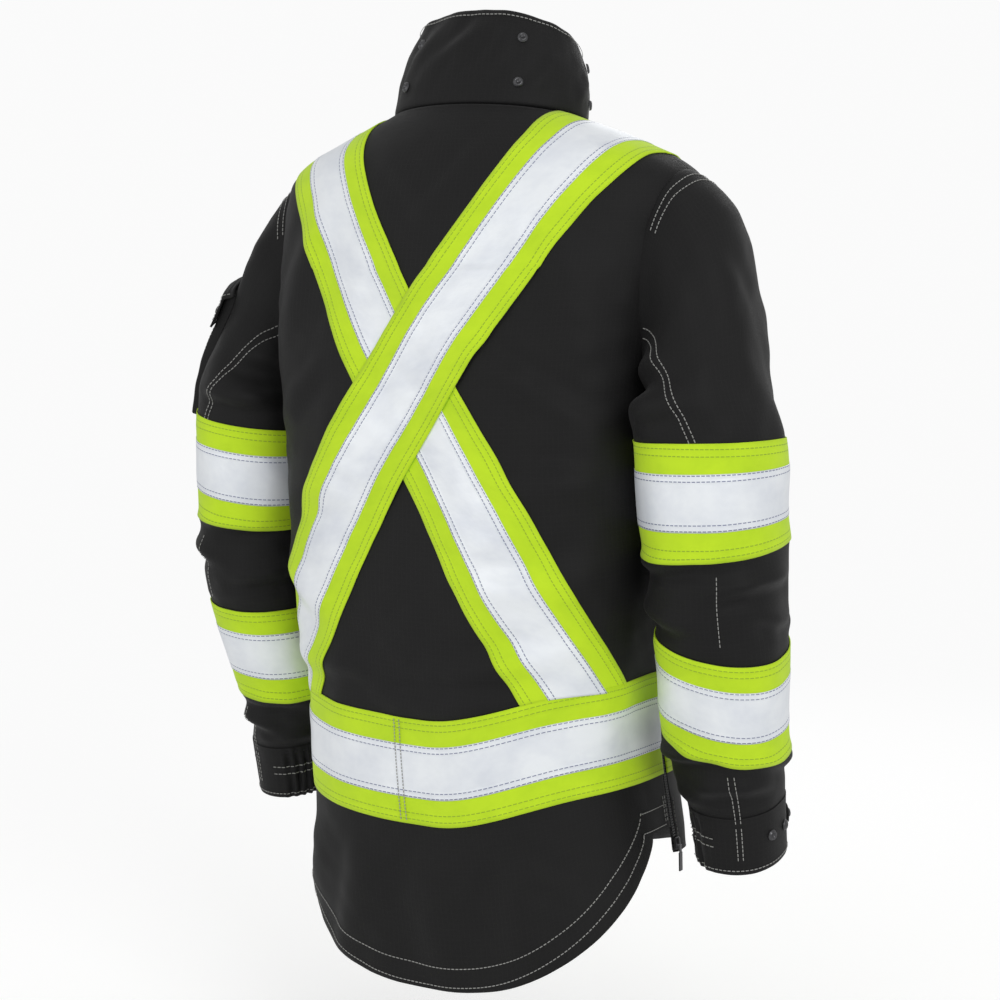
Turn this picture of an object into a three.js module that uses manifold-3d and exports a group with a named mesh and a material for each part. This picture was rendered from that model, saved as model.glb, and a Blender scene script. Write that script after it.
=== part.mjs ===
// High-visibility firefighter's outer coat with a stand collar, crossed back tapes and a
// drop tail. Millimetres, +Z up, the front faces -Y, the wearer's left is +X.
// The origin is the middle of the neck opening, level with the collar seam at the back.
import * as THREE from 'three';
import { mergeVertices } from 'three/addons/utils/BufferGeometryUtils.js';
import Module from 'manifold-3d';

const wasm = await Module();
wasm.setup();

// Body sizes
const neckHalfWidth = 100;
const neckHalfDepth = 74;
const neckTilt = 24;
const shoulderHalfWidth = 218;
const shoulderDrop = 64;
const chestHalfWidth = 192;
const backDepth = 148;
const frontDepth = 134;
const waistHalfWidth = 180;
const waistBackDepth = 140;
const hemHalfWidth = 190;
const bandTop = 576;
const frontHem = 731;
const tailHem = 822;
const fabric = 3;
const liningFabric = 2.4;
const gap = 0.4;

// Tape sizes
const tapeWidth = 100;
const silverWidth = 50;
const limeThickness = 1.2;
const silverThickness = 0.6;
const bandRise = 26;
const shoulderTapeX = 143;
const crossingDrop = 259;
const tapeFootX = 155;
const frontTapeX = 98;

// Front closure sizes
const panelHinge = 150;
const panelTop = 130;
const chainHalfWidth = 4;
const flapReach = 38;
const flapSewn = 26;
const flapThickness = 2.4;
const sliderHeight = 13;
const sliderWidth = 10;
const sliderThickness = 1.9;
const pullLength = 28;
const pullWidth = 5;

// Collar sizes
const collarHeight = 88;
const collarFrontHeight = 64;
const collarThickness = 6;
const collarTaper = 17;
const collarLean = 20;
const collarOpening = 3;

// Sleeve sizes
const armholeTop = 66;
const armholeBottom = 276;
const bicepWidth = 122;
const elbowDrop = 440;
const cuffDrop = 646;
const sleeveEnd = 686;
const cuffHalfWidth = 35;
const cuffHalfDepth = 41;
const upperBandDrop = 352;
const lowerBandDrop = 534;
const bandWidth = 96;
const pocketTop = 158;
const pocketBottom = 300;
const pocketDepth = 11;
const tabThickness = 1.8;
const tabHeight = 18;

// Side vent and hand pocket sizes
const ventHeight = frontHem - bandTop + 25;
const ventHalfWidth = 4;
const welt = { aboveBand: 31, height: 150, width: 22, thickness: 2.2 };

const columns = 28;
const sleeveColumns = 14;
const group = new THREE.Group();

const black = { color: 0x262626, roughness: 0.86, metalness: 0 };
const dark = { color: 0x1c1c1d, roughness: 0.9, metalness: 0 };
const lime = { color: 0xbeda2a, roughness: 0.7, metalness: 0 };
const silver = { color: 0xe0e6ee, roughness: 0.35, metalness: 0.3 };
const plastic = { color: 0x111111, roughness: 0.5, metalness: 0 };
const metal = { color: 0x4a4a4c, roughness: 0.35, metalness: 0.9 };

// Each station of the body: drop, half width, back depth, front depth, squareness, front tilt
const mid = (a, b, t) => a + (b - a) * t;
const belowCrossing = (share) => mid(crossingDrop, bandTop, share);
const torsoStations = [
  [0, neckHalfWidth, neckHalfDepth, neckHalfDepth - 2, 2, neckTilt],
  [16, mid(neckHalfWidth, shoulderHalfWidth, 0.28), neckHalfDepth + 11, neckHalfDepth + 8, 2.1, 16],
  [32, mid(neckHalfWidth, shoulderHalfWidth, 0.56), neckHalfDepth + 20, neckHalfDepth + 20, 2.1, 9],
  [48, mid(neckHalfWidth, shoulderHalfWidth, 0.83), neckHalfDepth + 27, neckHalfDepth + 31, 2.2, 4],
  [shoulderDrop, shoulderHalfWidth, neckHalfDepth + 34, neckHalfDepth + 40, 2.2, 0],
  [86, shoulderHalfWidth + 4, backDepth - 32, frontDepth - 12, 2.3, 0],
  [panelTop, shoulderHalfWidth, backDepth - 20, frontDepth, 2.4, 0],
  [190, mid(chestHalfWidth, shoulderHalfWidth, 0.6), backDepth - 8, frontDepth, 2.7, 0],
  [crossingDrop, mid(chestHalfWidth, shoulderHalfWidth, 0.15), backDepth, frontDepth, 3, 0],
  [belowCrossing(0.287), chestHalfWidth, backDepth + 2, frontDepth, 3.1, 0],
  [belowCrossing(0.6), chestHalfWidth - 2, backDepth, frontDepth, 3, 0],
  [belowCrossing(0.81), mid(waistHalfWidth, chestHalfWidth, 0.4),
    mid(waistBackDepth, backDepth, 0.4), frontDepth, 2.8, 0],
  [bandTop, waistHalfWidth, waistBackDepth, frontDepth, 2.7, 0],
  [bandTop + tapeWidth, waistHalfWidth + 4, waistBackDepth + 2, frontDepth, 2.6, 0],
  [frontHem, hemHalfWidth, waistBackDepth + 7, frontDepth, 2.6, 0],
  [tailHem + 12, hemHalfWidth + 5, waistBackDepth + 12, frontDepth, 2.6, 0],
];

const power = (value, exponent) => Math.sign(value) * Math.abs(value) ** exponent;

function bodyPoint(station, angle) {
  const [drop, halfWidth, back, front, square, tilt] = station;
  const sine = Math.sin(angle);
  const depth = sine > 0 ? back : front;
  const z = -drop - tilt * (1 - sine) / 2;
  return new THREE.Vector3(
    halfWidth * power(Math.cos(angle), 2 / square), depth * power(sine, 2 / square), z);
}

// A grid of points and its outward normals, from the point each row and column gives
function surfaceGrid(rowCount, columnCount, pointAt, wraps) {
  const points = [];
  for (let row = 0; row < rowCount; row += 1) {
    const line = [];
    for (let column = 0; column < columnCount; column += 1) line.push(pointAt(row, column));
    points.push(line);
  }
  const normals = points.map((line, row) => line.map((point, column) => {
    const left = wraps ? line[(column + columnCount - 1) % columnCount] : line[Math.max(column - 1, 0)];
    const right = wraps ? line[(column + 1) % columnCount] : line[Math.min(column + 1, columnCount - 1)];
    const above = points[Math.max(row - 1, 0)][column];
    const below = points[Math.min(row + 1, rowCount - 1)][column];
    const across = right.clone().sub(left);
    const down = below.clone().sub(above);
    return down.cross(across).normalize();
  }));
  return { points, normals, wraps };
}

// A sheet of cloth between two offsets of a grid; open at both ends when the grid wraps
function layer(grid, inner, outer, fromRow = 0, toRow = grid.points.length - 1,
  fromColumn = 0, toColumn = grid.points[0].length - 1) {
  const positions = [];
  const indices = [];
  const columnTotal = grid.wraps ? grid.points[0].length : toColumn - fromColumn + 1;
  const rowTotal = toRow - fromRow + 1;
  const place = (side, row, column) =>
    (side * rowTotal + row) * columnTotal + (grid.wraps ? column % columnTotal : column);
  for (const offset of [inner, outer]) {
    for (let row = 0; row < rowTotal; row += 1) {
      for (let column = 0; column < columnTotal; column += 1) {
        const from = grid.wraps ? column : fromColumn + column;
        const point = grid.points[fromRow + row][from].clone();
        const shift = typeof offset === 'function' ? offset(fromRow + row, from) : offset;
        point.addScaledVector(grid.normals[fromRow + row][from], shift);
        positions.push(point.x, point.y, point.z);
      }
    }
  }
  const quad = (a, b, c, d) => indices.push(a, b, c, a, c, d);
  const columnSteps = grid.wraps ? columnTotal : columnTotal - 1;
  for (let row = 0; row < rowTotal - 1; row += 1) {
    for (let column = 0; column < columnSteps; column += 1) {
      quad(place(1, row, column), place(1, row + 1, column),
        place(1, row + 1, column + 1), place(1, row, column + 1));
      quad(place(0, row, column), place(0, row, column + 1),
        place(0, row + 1, column + 1), place(0, row + 1, column));
    }
  }
  for (let column = 0; column < columnSteps; column += 1) {
    quad(place(0, 0, column), place(1, 0, column), place(1, 0, column + 1), place(0, 0, column + 1));
    const last = rowTotal - 1;
    quad(place(0, last, column), place(0, last, column + 1),
      place(1, last, column + 1), place(1, last, column));
  }
  if (!grid.wraps) {
    const last = columnTotal - 1;
    for (let row = 0; row < rowTotal - 1; row += 1) {
      quad(place(0, row, 0), place(0, row + 1, 0), place(1, row + 1, 0), place(1, row, 0));
      quad(place(0, row, last), place(1, row, last), place(1, row + 1, last), place(0, row + 1, last));
    }
  }
  const geometry = new THREE.BufferGeometry();
  geometry.setAttribute('position', new THREE.Float32BufferAttribute(positions, 3));
  geometry.setIndex(indices);
  return geometry;
}

// A closed geometry as a solid that can be cut and joined
function solid(geometry) {
  const bare = geometry.clone();
  bare.deleteAttribute('normal');
  bare.deleteAttribute('uv');
  const merged = mergeVertices(bare, 1e-4);
  return new wasm.Manifold(new wasm.Mesh({
    numProp: 3,
    vertProperties: new Float32Array(merged.attributes.position.array),
    triVerts: new Uint32Array(merged.index.array),
  }));
}

function geometryOf(manifold) {
  const mesh = manifold.getMesh();
  const geometry = new THREE.BufferGeometry();
  geometry.setAttribute('position', new THREE.BufferAttribute(new Float32Array(mesh.vertProperties), 3));
  geometry.setIndex(new THREE.BufferAttribute(new Uint32Array(mesh.triVerts), 1));
  return geometry;
}

function addPart(name, shape, finish) {
  const geometry = shape.isBufferGeometry ? shape : geometryOf(shape);
  const mesh = new THREE.Mesh(geometry, new THREE.MeshStandardMaterial(finish));
  mesh.name = name;
  group.add(mesh);
}

// A straight-sided cutter: an outline in x and z, run along y
function cutter(outline, yFrom, yTo) {
  const shape = new THREE.Shape(outline.map(([x, z]) => new THREE.Vector2(x, z)));
  const geometry = new THREE.ExtrudeGeometry(shape, { depth: yTo - yFrom, bevelEnabled: false });
  geometry.rotateX(Math.PI / 2);
  geometry.translate(0, yTo, 0);
  return solid(geometry);
}

function block(xFrom, xTo, yFrom, yTo, zFrom, zTo) {
  const geometry = new THREE.BoxGeometry(xTo - xFrom, yTo - yFrom, zTo - zFrom);
  geometry.translate((xFrom + xTo) / 2, (yFrom + yTo) / 2, (zFrom + zTo) / 2);
  return solid(geometry);
}

const far = 400;
const seam = gap / 2;
const torsoGrid = surfaceGrid(torsoStations.length, columns, (row, column) =>
  bodyPoint(torsoStations[row], (column / columns) * 2 * Math.PI), true);
const bodyLayer = (inner, outer) => solid(layer(torsoGrid, inner, outer));
const limeOne = [gap, gap + limeThickness];
const silverOne = [limeOne[1] + gap, limeOne[1] + gap + silverThickness];
const limeTwo = [silverOne[1] + gap, silverOne[1] + gap + limeThickness];
const silverTwo = [limeTwo[1] + gap, limeTwo[1] + gap + silverThickness];
const shellCloth = bodyLayer(-fabric, 0);
const liningCloth = bodyLayer(-fabric - gap - liningFabric, -fabric - gap);
const limeCloth = bodyLayer(...limeOne);
const silverCloth = bodyLayer(...silverOne);

// Upper and lower edges that rise towards the sides, as a level tape does on a wrapped body
const edgeSteps = [-1.4, -1, -0.7, -0.35, 0, 0.35, 0.7, 1, 1.4];
const risingEdge = (drop) => edgeSteps.map((t) =>
  [t * waistHalfWidth, -drop + bandRise * Math.min(t * t, 1)]);
function bandCutter(upper, lower, yFrom, yTo) {
  return cutter([...risingEdge(upper), ...risingEdge(lower).reverse()], yFrom, yTo);
}
const silverInset = (tapeWidth - silverWidth) / 2;
const bandMiddle = bandTop + tapeWidth / 2;

// Armholes: an oval cut through each side of the body cloth
function armholeCutter(side) {
  const middle = (armholeTop + armholeBottom) / 2 + 8;
  const oval = new THREE.Shape();
  oval.absellipse(0, 0, (armholeBottom - armholeTop) / 2 - 14, 74, 0, 2 * Math.PI);
  const geometry = new THREE.ExtrudeGeometry(oval,
    { depth: 160, bevelEnabled: false, curveSegments: 10 });
  geometry.rotateY(Math.PI / 2);
  geometry.translate(side > 0 ? 120 : -280, 6, -middle);
  return solid(geometry);
}
const armholes = armholeCutter(1).add(armholeCutter(-1));

// Rounded drop tail: the outline that keeps the cloth of the tail
function tailOutline(inset) {
  const corner = hemHalfWidth + 20;
  const points = [[-corner, 40], [-corner, -frontHem + 40]];
  for (let step = 0; step <= 12; step += 1) {
    const angle = Math.PI * (step / 12);
    const x = -Math.cos(angle) * (hemHalfWidth - 2);
    const drop = Math.sin(angle) ** 0.75 * (tailHem - frontHem + 36);
    points.push([x, -frontHem + 36 - drop + inset]);
  }
  points.push([corner, -frontHem + 40], [corner, 40]);
  return points;
}

// Body cloth
const ventSlot = (side) => block(side > 0 ? 100 : -far, side > 0 ? far : -100,
  -ventHalfWidth, ventHalfWidth, -far * 3, -frontHem + ventHeight);
const backHalf = (side) => block(-far, far, side > 0 ? seam : -far, side > 0 ? far : -seam, -far * 3, far);
const bodyCloth = shellCloth.subtract(armholes).subtract(ventSlot(1)).subtract(ventSlot(-1));
const tailCutter = cutter(tailOutline(0), 0, far);
const upperBack = bandCutter(-60, bandMiddle - seam, seam, far);
const lowerBack = bandCutter(bandMiddle + seam, tailHem + 60, seam, far).intersect(tailCutter);
addPart('back_panel', bodyCloth.intersect(upperBack), black);
addPart('tail_panel', bodyCloth.intersect(lowerBack), black);

const doorway = (side, clearance) => {
  const inner = -clearance;
  const outer = panelHinge + clearance;
  return side > 0
    ? block(inner, outer, -far, 0, -far * 3, -panelTop + clearance)
    : block(-outer, -inner, -far, 0, -far * 3, -panelTop + clearance);
};
const doorways = doorway(1, seam).add(doorway(-1, seam));
const aboveFrontHem = block(-far, far, -far, 0, -frontHem, far);
const frontCloth = bodyCloth.intersect(backHalf(-1)).intersect(aboveFrontHem).subtract(doorways);
for (const side of [1, -1]) {
  const word = side > 0 ? 'left' : 'right';
  const sideHalf = side > 0 ? block(seam, far, -far, far, -far * 3, far)
    : block(-far, -seam, -far, far, -far * 3, far);
  const split = panelTop + 60;
  const low = block(-far, far, -far, 0, -far * 3, -split - seam);
  const high = block(-far, far, -far, 0, -split + seam, far);
  addPart(`${word}_side_panel`, frontCloth.intersect(sideHalf).intersect(low), black);
  addPart(`${word}_front_yoke`, frontCloth.intersect(sideHalf).intersect(high), black);
  addPart(`${word}_side_lime`, limeCloth.intersect(sideHalf).intersect(backHalf(-1))
    .intersect(bandCutter(bandTop, bandTop + tapeWidth, -far, -ventHalfWidth - seam))
    .subtract(doorways), lime);
  addPart(`${word}_side_silver`, silverCloth.intersect(sideHalf).intersect(backHalf(-1))
    .intersect(bandCutter(bandTop + silverInset, bandTop + tapeWidth - silverInset,
      -far, -ventHalfWidth - seam)).subtract(doorways), silver);
}

const liningTrim = 12;
const liningKeep = cutter(tailOutline(liningTrim), 0, far)
  .add(block(-far, far, -far, 0.001, -frontHem + liningTrim, far));
addPart('body_lining', liningCloth.subtract(armholes).subtract(doorways).intersect(liningKeep), dark);

// Waist tape at the back, between the two side vents
const backReach = [ventHalfWidth + seam, far];
addPart('waist_back_lime', limeCloth.intersect(
  bandCutter(bandTop, bandTop + tapeWidth, ...backReach)), lime);
addPart('waist_back_silver', silverCloth.intersect(
  bandCutter(bandTop + silverInset, bandTop + tapeWidth - silverInset, ...backReach)), silver);

// Crossed shoulder tapes: drop, middle, half width of the tape where it is seen from behind
const crossedTape = [
  [-20, shoulderTapeX, 0.48], [40, shoulderTapeX - 3, 0.48], [55, shoulderTapeX - 15, 0.5],
  [100, shoulderTapeX - 40, 0.53], [145, shoulderTapeX - 68, 0.57], [crossingDrop, 0, 0.58],
  [belowCrossing(0.32), -tapeFootX + 87, 0.57], [belowCrossing(0.62), -tapeFootX + 35, 0.54],
  [belowCrossing(0.89), -tapeFootX + 7, 0.46],
  [bandTop + 30, -tapeFootX - 2, 0.36],
];
const frontTape = [
  [-20, shoulderTapeX, 0.48], [40, shoulderTapeX - 3, 0.48], [70, shoulderTapeX - 24, 0.5],
  [panelTop, frontTapeX, 0.5], [bandTop + 30, frontTapeX, 0.5],
];
function tapeCutter(route, side, width, yFrom, yTo) {
  const left = route.map(([drop, middle, share]) => [side * (middle - share * width), -drop]);
  const right = route.map(([drop, middle, share]) => [side * (middle + share * width), -drop]);
  const outline = side > 0 ? [...left, ...right.reverse()] : [...right, ...left.reverse()];
  return cutter(outline, yFrom, yTo);
}
const aboveBand = bandCutter(-120, bandTop - gap, -far, far);
const neckOval = new THREE.Shape();
neckOval.absellipse(0, 0, neckHalfWidth + 1, neckHalfDepth + 1, 0, 2 * Math.PI);
const neckCutter = solid(new THREE.ExtrudeGeometry(neckOval,
  { depth: 2 * far, bevelEnabled: false, curveSegments: 16 }).translate(0, 0, -far));
for (const side of [1, -1]) {
  const word = side > 0 ? 'left' : 'right';
  const limeDepth = side > 0 ? limeOne : limeTwo;
  const silverDepth = side > 0 ? silverOne : silverTwo;
  const yokeOnly = block(-far, far, -far, far, -panelTop + seam, far)
    .add(block(-far, far, 0, far, -far * 3, far));
  for (const [kind, depth, width, finish] of [
    ['lime', limeDepth, tapeWidth, lime], ['silver', silverDepth, silverWidth, silver]]) {
    const route = tapeCutter(crossedTape, side, width, 0, far)
      .add(tapeCutter(frontTape, side, width, -far, 0.001));
    addPart(`${word}_shoulder_${kind}`,
      bodyLayer(...depth).intersect(route).intersect(aboveBand).intersect(yokeOnly)
        .subtract(neckCutter), finish);
  }
}

const chainProud = 0.5;
const chainDepth = [0.5 - fabric, chainProud];

// Front panels, which swing open about a line in front of each side panel
for (const side of [1, -1]) {
  const word = side > 0 ? 'left' : 'right';
  const door = doorway(side, -seam).intersect(aboveFrontHem);
  const inside = side > 0
    ? block(chainHalfWidth + gap, far, -far, 0, -far * 3, 0)
    : block(-far, -chainHalfWidth - gap, -far, 0, -far * 3, 0);
  addPart(`${word}_front_panel`, shellCloth.intersect(door).intersect(inside), black);
  const liningInside = block(-far, far, -far, 0, -frontHem + liningTrim, 0);
  const besideSlider = sliderWidth / 2 + 2 * gap;
  const clearOfSlider = side > 0 ? block(besideSlider, far, -far, 0, -far * 3, 0)
    : block(-far, -besideSlider, -far, 0, -far * 3, 0);
  addPart(`${word}_front_lining`, liningCloth.intersect(door).intersect(inside)
    .intersect(liningInside), dark);
  const limeDepth = side > 0 ? limeOne : limeTwo;
  const silverDepth = side > 0 ? silverOne : silverTwo;
  for (const [kind, depth, width, inset, waistDepth, finish] of [
    ['lime', limeDepth, tapeWidth, 0, limeOne, lime],
    ['silver', silverDepth, silverWidth, silverInset, silverOne, silver]]) {
    addPart(`${word}_front_tape_${kind}`, bodyLayer(...depth).intersect(door)
      .intersect(tapeCutter(frontTape, side, width, -far, 0)).intersect(aboveBand), finish);
    addPart(`${word}_front_waist_${kind}`, bodyLayer(...waistDepth).intersect(door)
      .intersect(clearOfSlider)
      .intersect(bandCutter(bandTop + inset, bandTop + tapeWidth - inset, -far, 0)), finish);
  }
  const chain = side > 0 ? block(seam, chainHalfWidth, -far, 0, -frontHem + 3, -panelTop - 2)
    : block(-chainHalfWidth, -seam, -far, 0, -frontHem + 3, -panelTop - 2);
  addPart(`${word}_zip_chain`, bodyLayer(...chainDepth).intersect(chain), plastic);
}

// Storm flap, zip slider and pull
const flapInner = silverOne[1] + 2 * gap;
const flapDepth = [flapInner, flapInner + flapThickness];
addPart('storm_flap', bodyLayer(...flapDepth).intersect(
  block(-flapReach, flapSewn, -far, 0, -frontHem + 6, -panelTop - 2)), black);
const sliderTop = -panelTop - 22;
const sliderFront = -frontDepth - chainProud - gap;
addPart('main_slider', block(-sliderWidth / 2, sliderWidth / 2, sliderFront - sliderThickness / 2,
  sliderFront, sliderTop - sliderHeight, sliderTop), metal);
addPart('main_pull', block(-pullWidth / 2, pullWidth / 2, sliderFront - 1.0, sliderFront,
  sliderTop - sliderHeight - gap - pullLength, sliderTop - sliderHeight - gap), metal);

// Collar: tapers, leans forward and stands lower at the front; open at the front for the zip
const collarRows = 4;
const collarColumns = 25;
const openAngle = Math.asin(collarOpening / (neckHalfWidth - collarTaper));
const collarGrid = surfaceGrid(collarRows, collarColumns, (row, column) => {
  const spread = 2 * Math.PI - 2 * openAngle;
  const angle = -Math.PI / 2 + openAngle + (spread * column) / (collarColumns - 1);
  const rise = 1 - row / (collarRows - 1);
  const sine = Math.sin(angle);
  const height = mid(collarFrontHeight, collarHeight, (1 + sine) / 2);
  const seamZ = -neckTilt * (1 - sine) / 2 + gap;
  const taper = collarTaper * rise;
  return new THREE.Vector3((neckHalfWidth - taper) * Math.cos(angle),
    (neckHalfDepth - taper) * sine - collarLean * rise, seamZ + height * rise);
}, false);
addPart('collar', layer(collarGrid, -collarThickness, 0), black);
addPart('hanger_loop', bodyLayer(-fabric - 2 * gap - liningFabric - 1.6, -fabric - 2 * gap - liningFabric)
  .intersect(block(-30, 30, 0, far, -22, -13)), dark);

function halfWidthAt(drop) {
  const next = torsoStations.findIndex((station) => station[0] > drop);
  const [above, below] = [torsoStations[next - 1], torsoStations[next]];
  return mid(above[1], below[1], (drop - above[0]) / (below[0] - above[0]));
}

// Side vent zips and hand pocket welts
for (const side of [1, -1]) {
  const word = side > 0 ? 'left' : 'right';
  const zip = block(side > 0 ? 100 : -far, side > 0 ? far : -100, -ventHalfWidth + gap,
    ventHalfWidth - gap, -frontHem + 2, -frontHem + ventHeight - gap);
  addPart(`${word}_vent_zip`, bodyLayer(...chainDepth).intersect(zip), plastic);
  const wide = halfWidthAt(frontHem - 4) + chainProud + gap;
  const sliderX = side > 0 ? [wide, wide + 3] : [-wide - 3, -wide];
  addPart(`${word}_vent_slider`, block(...sliderX, -4, 4, -frontHem + 4, -frontHem + 18), metal);
  const weltEnds = [-bandTop + welt.aboveBand, -bandTop + welt.aboveBand + welt.height];
  const weltBlock = side > 0 ? block(panelHinge + 4, far, -far, -40, ...weltEnds)
    : block(-far, -panelHinge - 4, -far, -40, ...weltEnds);
  const nearHinge = side > 0 ? block(0, panelHinge + 4 + welt.width, -far, 0, -far * 3, 0)
    : block(-panelHinge - 4 - welt.width, 0, -far, 0, -far * 3, 0);
  addPart(`${word}_pocket_welt`, bodyLayer(gap, gap + welt.thickness).intersect(weltBlock)
    .intersect(nearHinge), black);
}

// Each station of a sleeve: inner x and drop, outer x and drop, middle y, half depth, forward tilt
const armX = chestHalfWidth + 4 + bicepWidth / 2;
const sleeveStations = [
  [chestHalfWidth - 24, armholeBottom - 8, shoulderHalfWidth - 30, armholeTop - 14, 5, 78, 0],
  [chestHalfWidth + 3, armholeBottom, shoulderHalfWidth + 4, armholeTop + 2, 6, 88, 0],
  [chestHalfWidth + 5, armholeBottom + 6, shoulderHalfWidth + 36, armholeTop + 38, 8, 88, 0],
  [chestHalfWidth + 5, armholeBottom + 12, armX + 26, 178, 16, 85, 0],
  [chestHalfWidth + 4, armholeBottom + 19, armX + 48, 250, 32, 79, 0],
];
const upperStart = [upperBandDrop - bandWidth / 2, armX, bicepWidth / 2 + 0.5, 40, 73, 0];
const armStations = [
  upperStart,
  [upperBandDrop - silverWidth / 2, armX + 1, bicepWidth / 2, 40, 72, 2],
  [upperBandDrop + silverWidth / 2, armX + 1, bicepWidth / 2, 35, 72, 5],
  [upperBandDrop + bandWidth / 2, armX + 2, bicepWidth / 2 + 1, 29, 71, 8],
  [elbowDrop - seam, armX + 3, bicepWidth / 2 + 1, 22, 70, 9],
  [elbowDrop + seam, armX + 3, bicepWidth / 2 + 1, 22, 70, 9],
  [lowerBandDrop - bandWidth / 2, armX + 3, bicepWidth / 2 - 2, 14, 66, 10],
  [lowerBandDrop - silverWidth / 2, armX + 3, bicepWidth / 2 - 5, 10, 63, 10],
  [lowerBandDrop + silverWidth / 2, armX + 3, bicepWidth / 2 - 9, 1, 58, 11],
  [lowerBandDrop + bandWidth / 2, armX + 3, bicepWidth / 2 - 13, -5, 54, 12],
  [cuffDrop - seam, armX + 2, cuffHalfWidth + 2, -20, cuffHalfDepth + 2, 12],
  [cuffDrop + seam, armX + 2, cuffHalfWidth + 1, -20, cuffHalfDepth + 1, 12],
  [mid(cuffDrop, sleeveEnd, 0.5), armX + 2, cuffHalfWidth + 1, -25, cuffHalfDepth + 1, 12],
  [sleeveEnd, armX + 2, cuffHalfWidth, -30, cuffHalfDepth, 12],
].map(([drop, x, halfWidth, y, depth, tilt]) =>
  [x - halfWidth, drop, x + halfWidth, drop, y, depth, tilt]);
const allStations = [...sleeveStations, ...armStations];
const first = sleeveStations.length;
const rows = {
  bandTopRow: first, silverTop: first + 1, silverBottom: first + 2, bandBottom: first + 3,
  elbowAbove: first + 4, elbowBelow: first + 5, lowTop: first + 6, lowSilverTop: first + 7,
  lowSilverBottom: first + 8, lowBottom: first + 9, cuffAbove: first + 10, cuffBelow: first + 11,
  cuffMiddle: first + 12, end: first + 13,
};

function sleevePoint(side, station, angle) {
  const [innerX, innerDrop, outerX, outerDrop, y, depth, tilt] = station;
  const centre = new THREE.Vector3((innerX + outerX) / 2, y, -(innerDrop + outerDrop) / 2);
  const across = new THREE.Vector3((outerX - innerX) / 2, 0, -(outerDrop - innerDrop) / 2);
  const lean = THREE.MathUtils.degToRad(tilt);
  const deep = new THREE.Vector3(0, Math.cos(lean), -Math.sin(lean)).multiplyScalar(depth);
  const point = centre.addScaledVector(across, power(Math.cos(angle), 0.92))
    .addScaledVector(deep, power(Math.sin(angle), 0.92));
  point.x *= side;
  return point;
}

const bodyCore = (offset) => {
  const caps = [torsoStations[0], torsoStations[torsoStations.length - 1]];
  const outer = layer(torsoGrid, -60, offset);
  const drop = block(-far, far, -far, far, -far, -caps[0][0] - 1);
  return solid(outer).intersect(drop);
};

for (const side of [1, -1]) {
  const word = side > 0 ? 'left' : 'right';
  const grid = surfaceGrid(allStations.length, sleeveColumns, (row, column) =>
    sleevePoint(side, allStations[row], side * (column / sleeveColumns) * 2 * Math.PI), true);
  const sleeveLayer = (inner, outer, from, to) => layer(grid, inner, outer, from, to);
  const upper = solid(sleeveLayer(-fabric, 0, 0, rows.elbowAbove)).subtract(bodyCore(gap));
  const pieces = upper.decompose().sort((a, b) => b.volume() - a.volume());
  addPart(`${word}_upper_sleeve`, pieces[0], black);
  addPart(`${word}_lower_sleeve`, sleeveLayer(-fabric, 0, rows.elbowBelow, rows.cuffAbove), black);
  addPart(`${word}_cuff`, sleeveLayer(-fabric, 0, rows.cuffBelow, rows.end), black);
  addPart(`${word}_upper_band_lime`, sleeveLayer(...limeOne, rows.bandTopRow, rows.bandBottom), lime);
  addPart(`${word}_upper_band_silver`,
    sleeveLayer(...silverOne, rows.silverTop, rows.silverBottom), silver);
  addPart(`${word}_lower_band_lime`, sleeveLayer(...limeOne, rows.lowTop, rows.lowBottom), lime);
  addPart(`${word}_lower_band_silver`,
    sleeveLayer(...silverOne, rows.lowSilverTop, rows.lowSilverBottom), silver);
  const tabZ = -mid(cuffDrop, sleeveEnd, 0.55);
  const tabSide = side > 0 ? block(armX, far, -far, -42, tabZ - tabHeight / 2, tabZ + tabHeight / 2)
    : block(-far, -armX, -far, -42, tabZ - tabHeight / 2, tabZ + tabHeight / 2);
  addPart(`${word}_cuff_tab`, solid(sleeveLayer(gap, gap + tabThickness, rows.cuffBelow, rows.end))
    .intersect(tabSide), black);
  if (side > 0) {
    const outerHalf = (top, bottom) => block(armX + 12, far, -40, 72, -bottom, -top);
    const start = 2;
    const pocket = solid(sleeveLayer(gap, gap + pocketDepth, start, rows.bandTopRow))
      .intersect(outerHalf(pocketTop, pocketBottom));
    addPart('sleeve_pocket', pocket, black);
    const flapFrom = 2 * gap + pocketDepth;
    addPart('sleeve_pocket_flap', solid(sleeveLayer(flapFrom, flapFrom + 2, start, rows.bandTopRow))
      .intersect(outerHalf(pocketTop - 2, pocketTop + 46)), black);
  }
}

export default group;
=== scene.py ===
import math

import bmesh
import bpy
import numpy as np
from mathutils import Matrix, Vector


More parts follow.
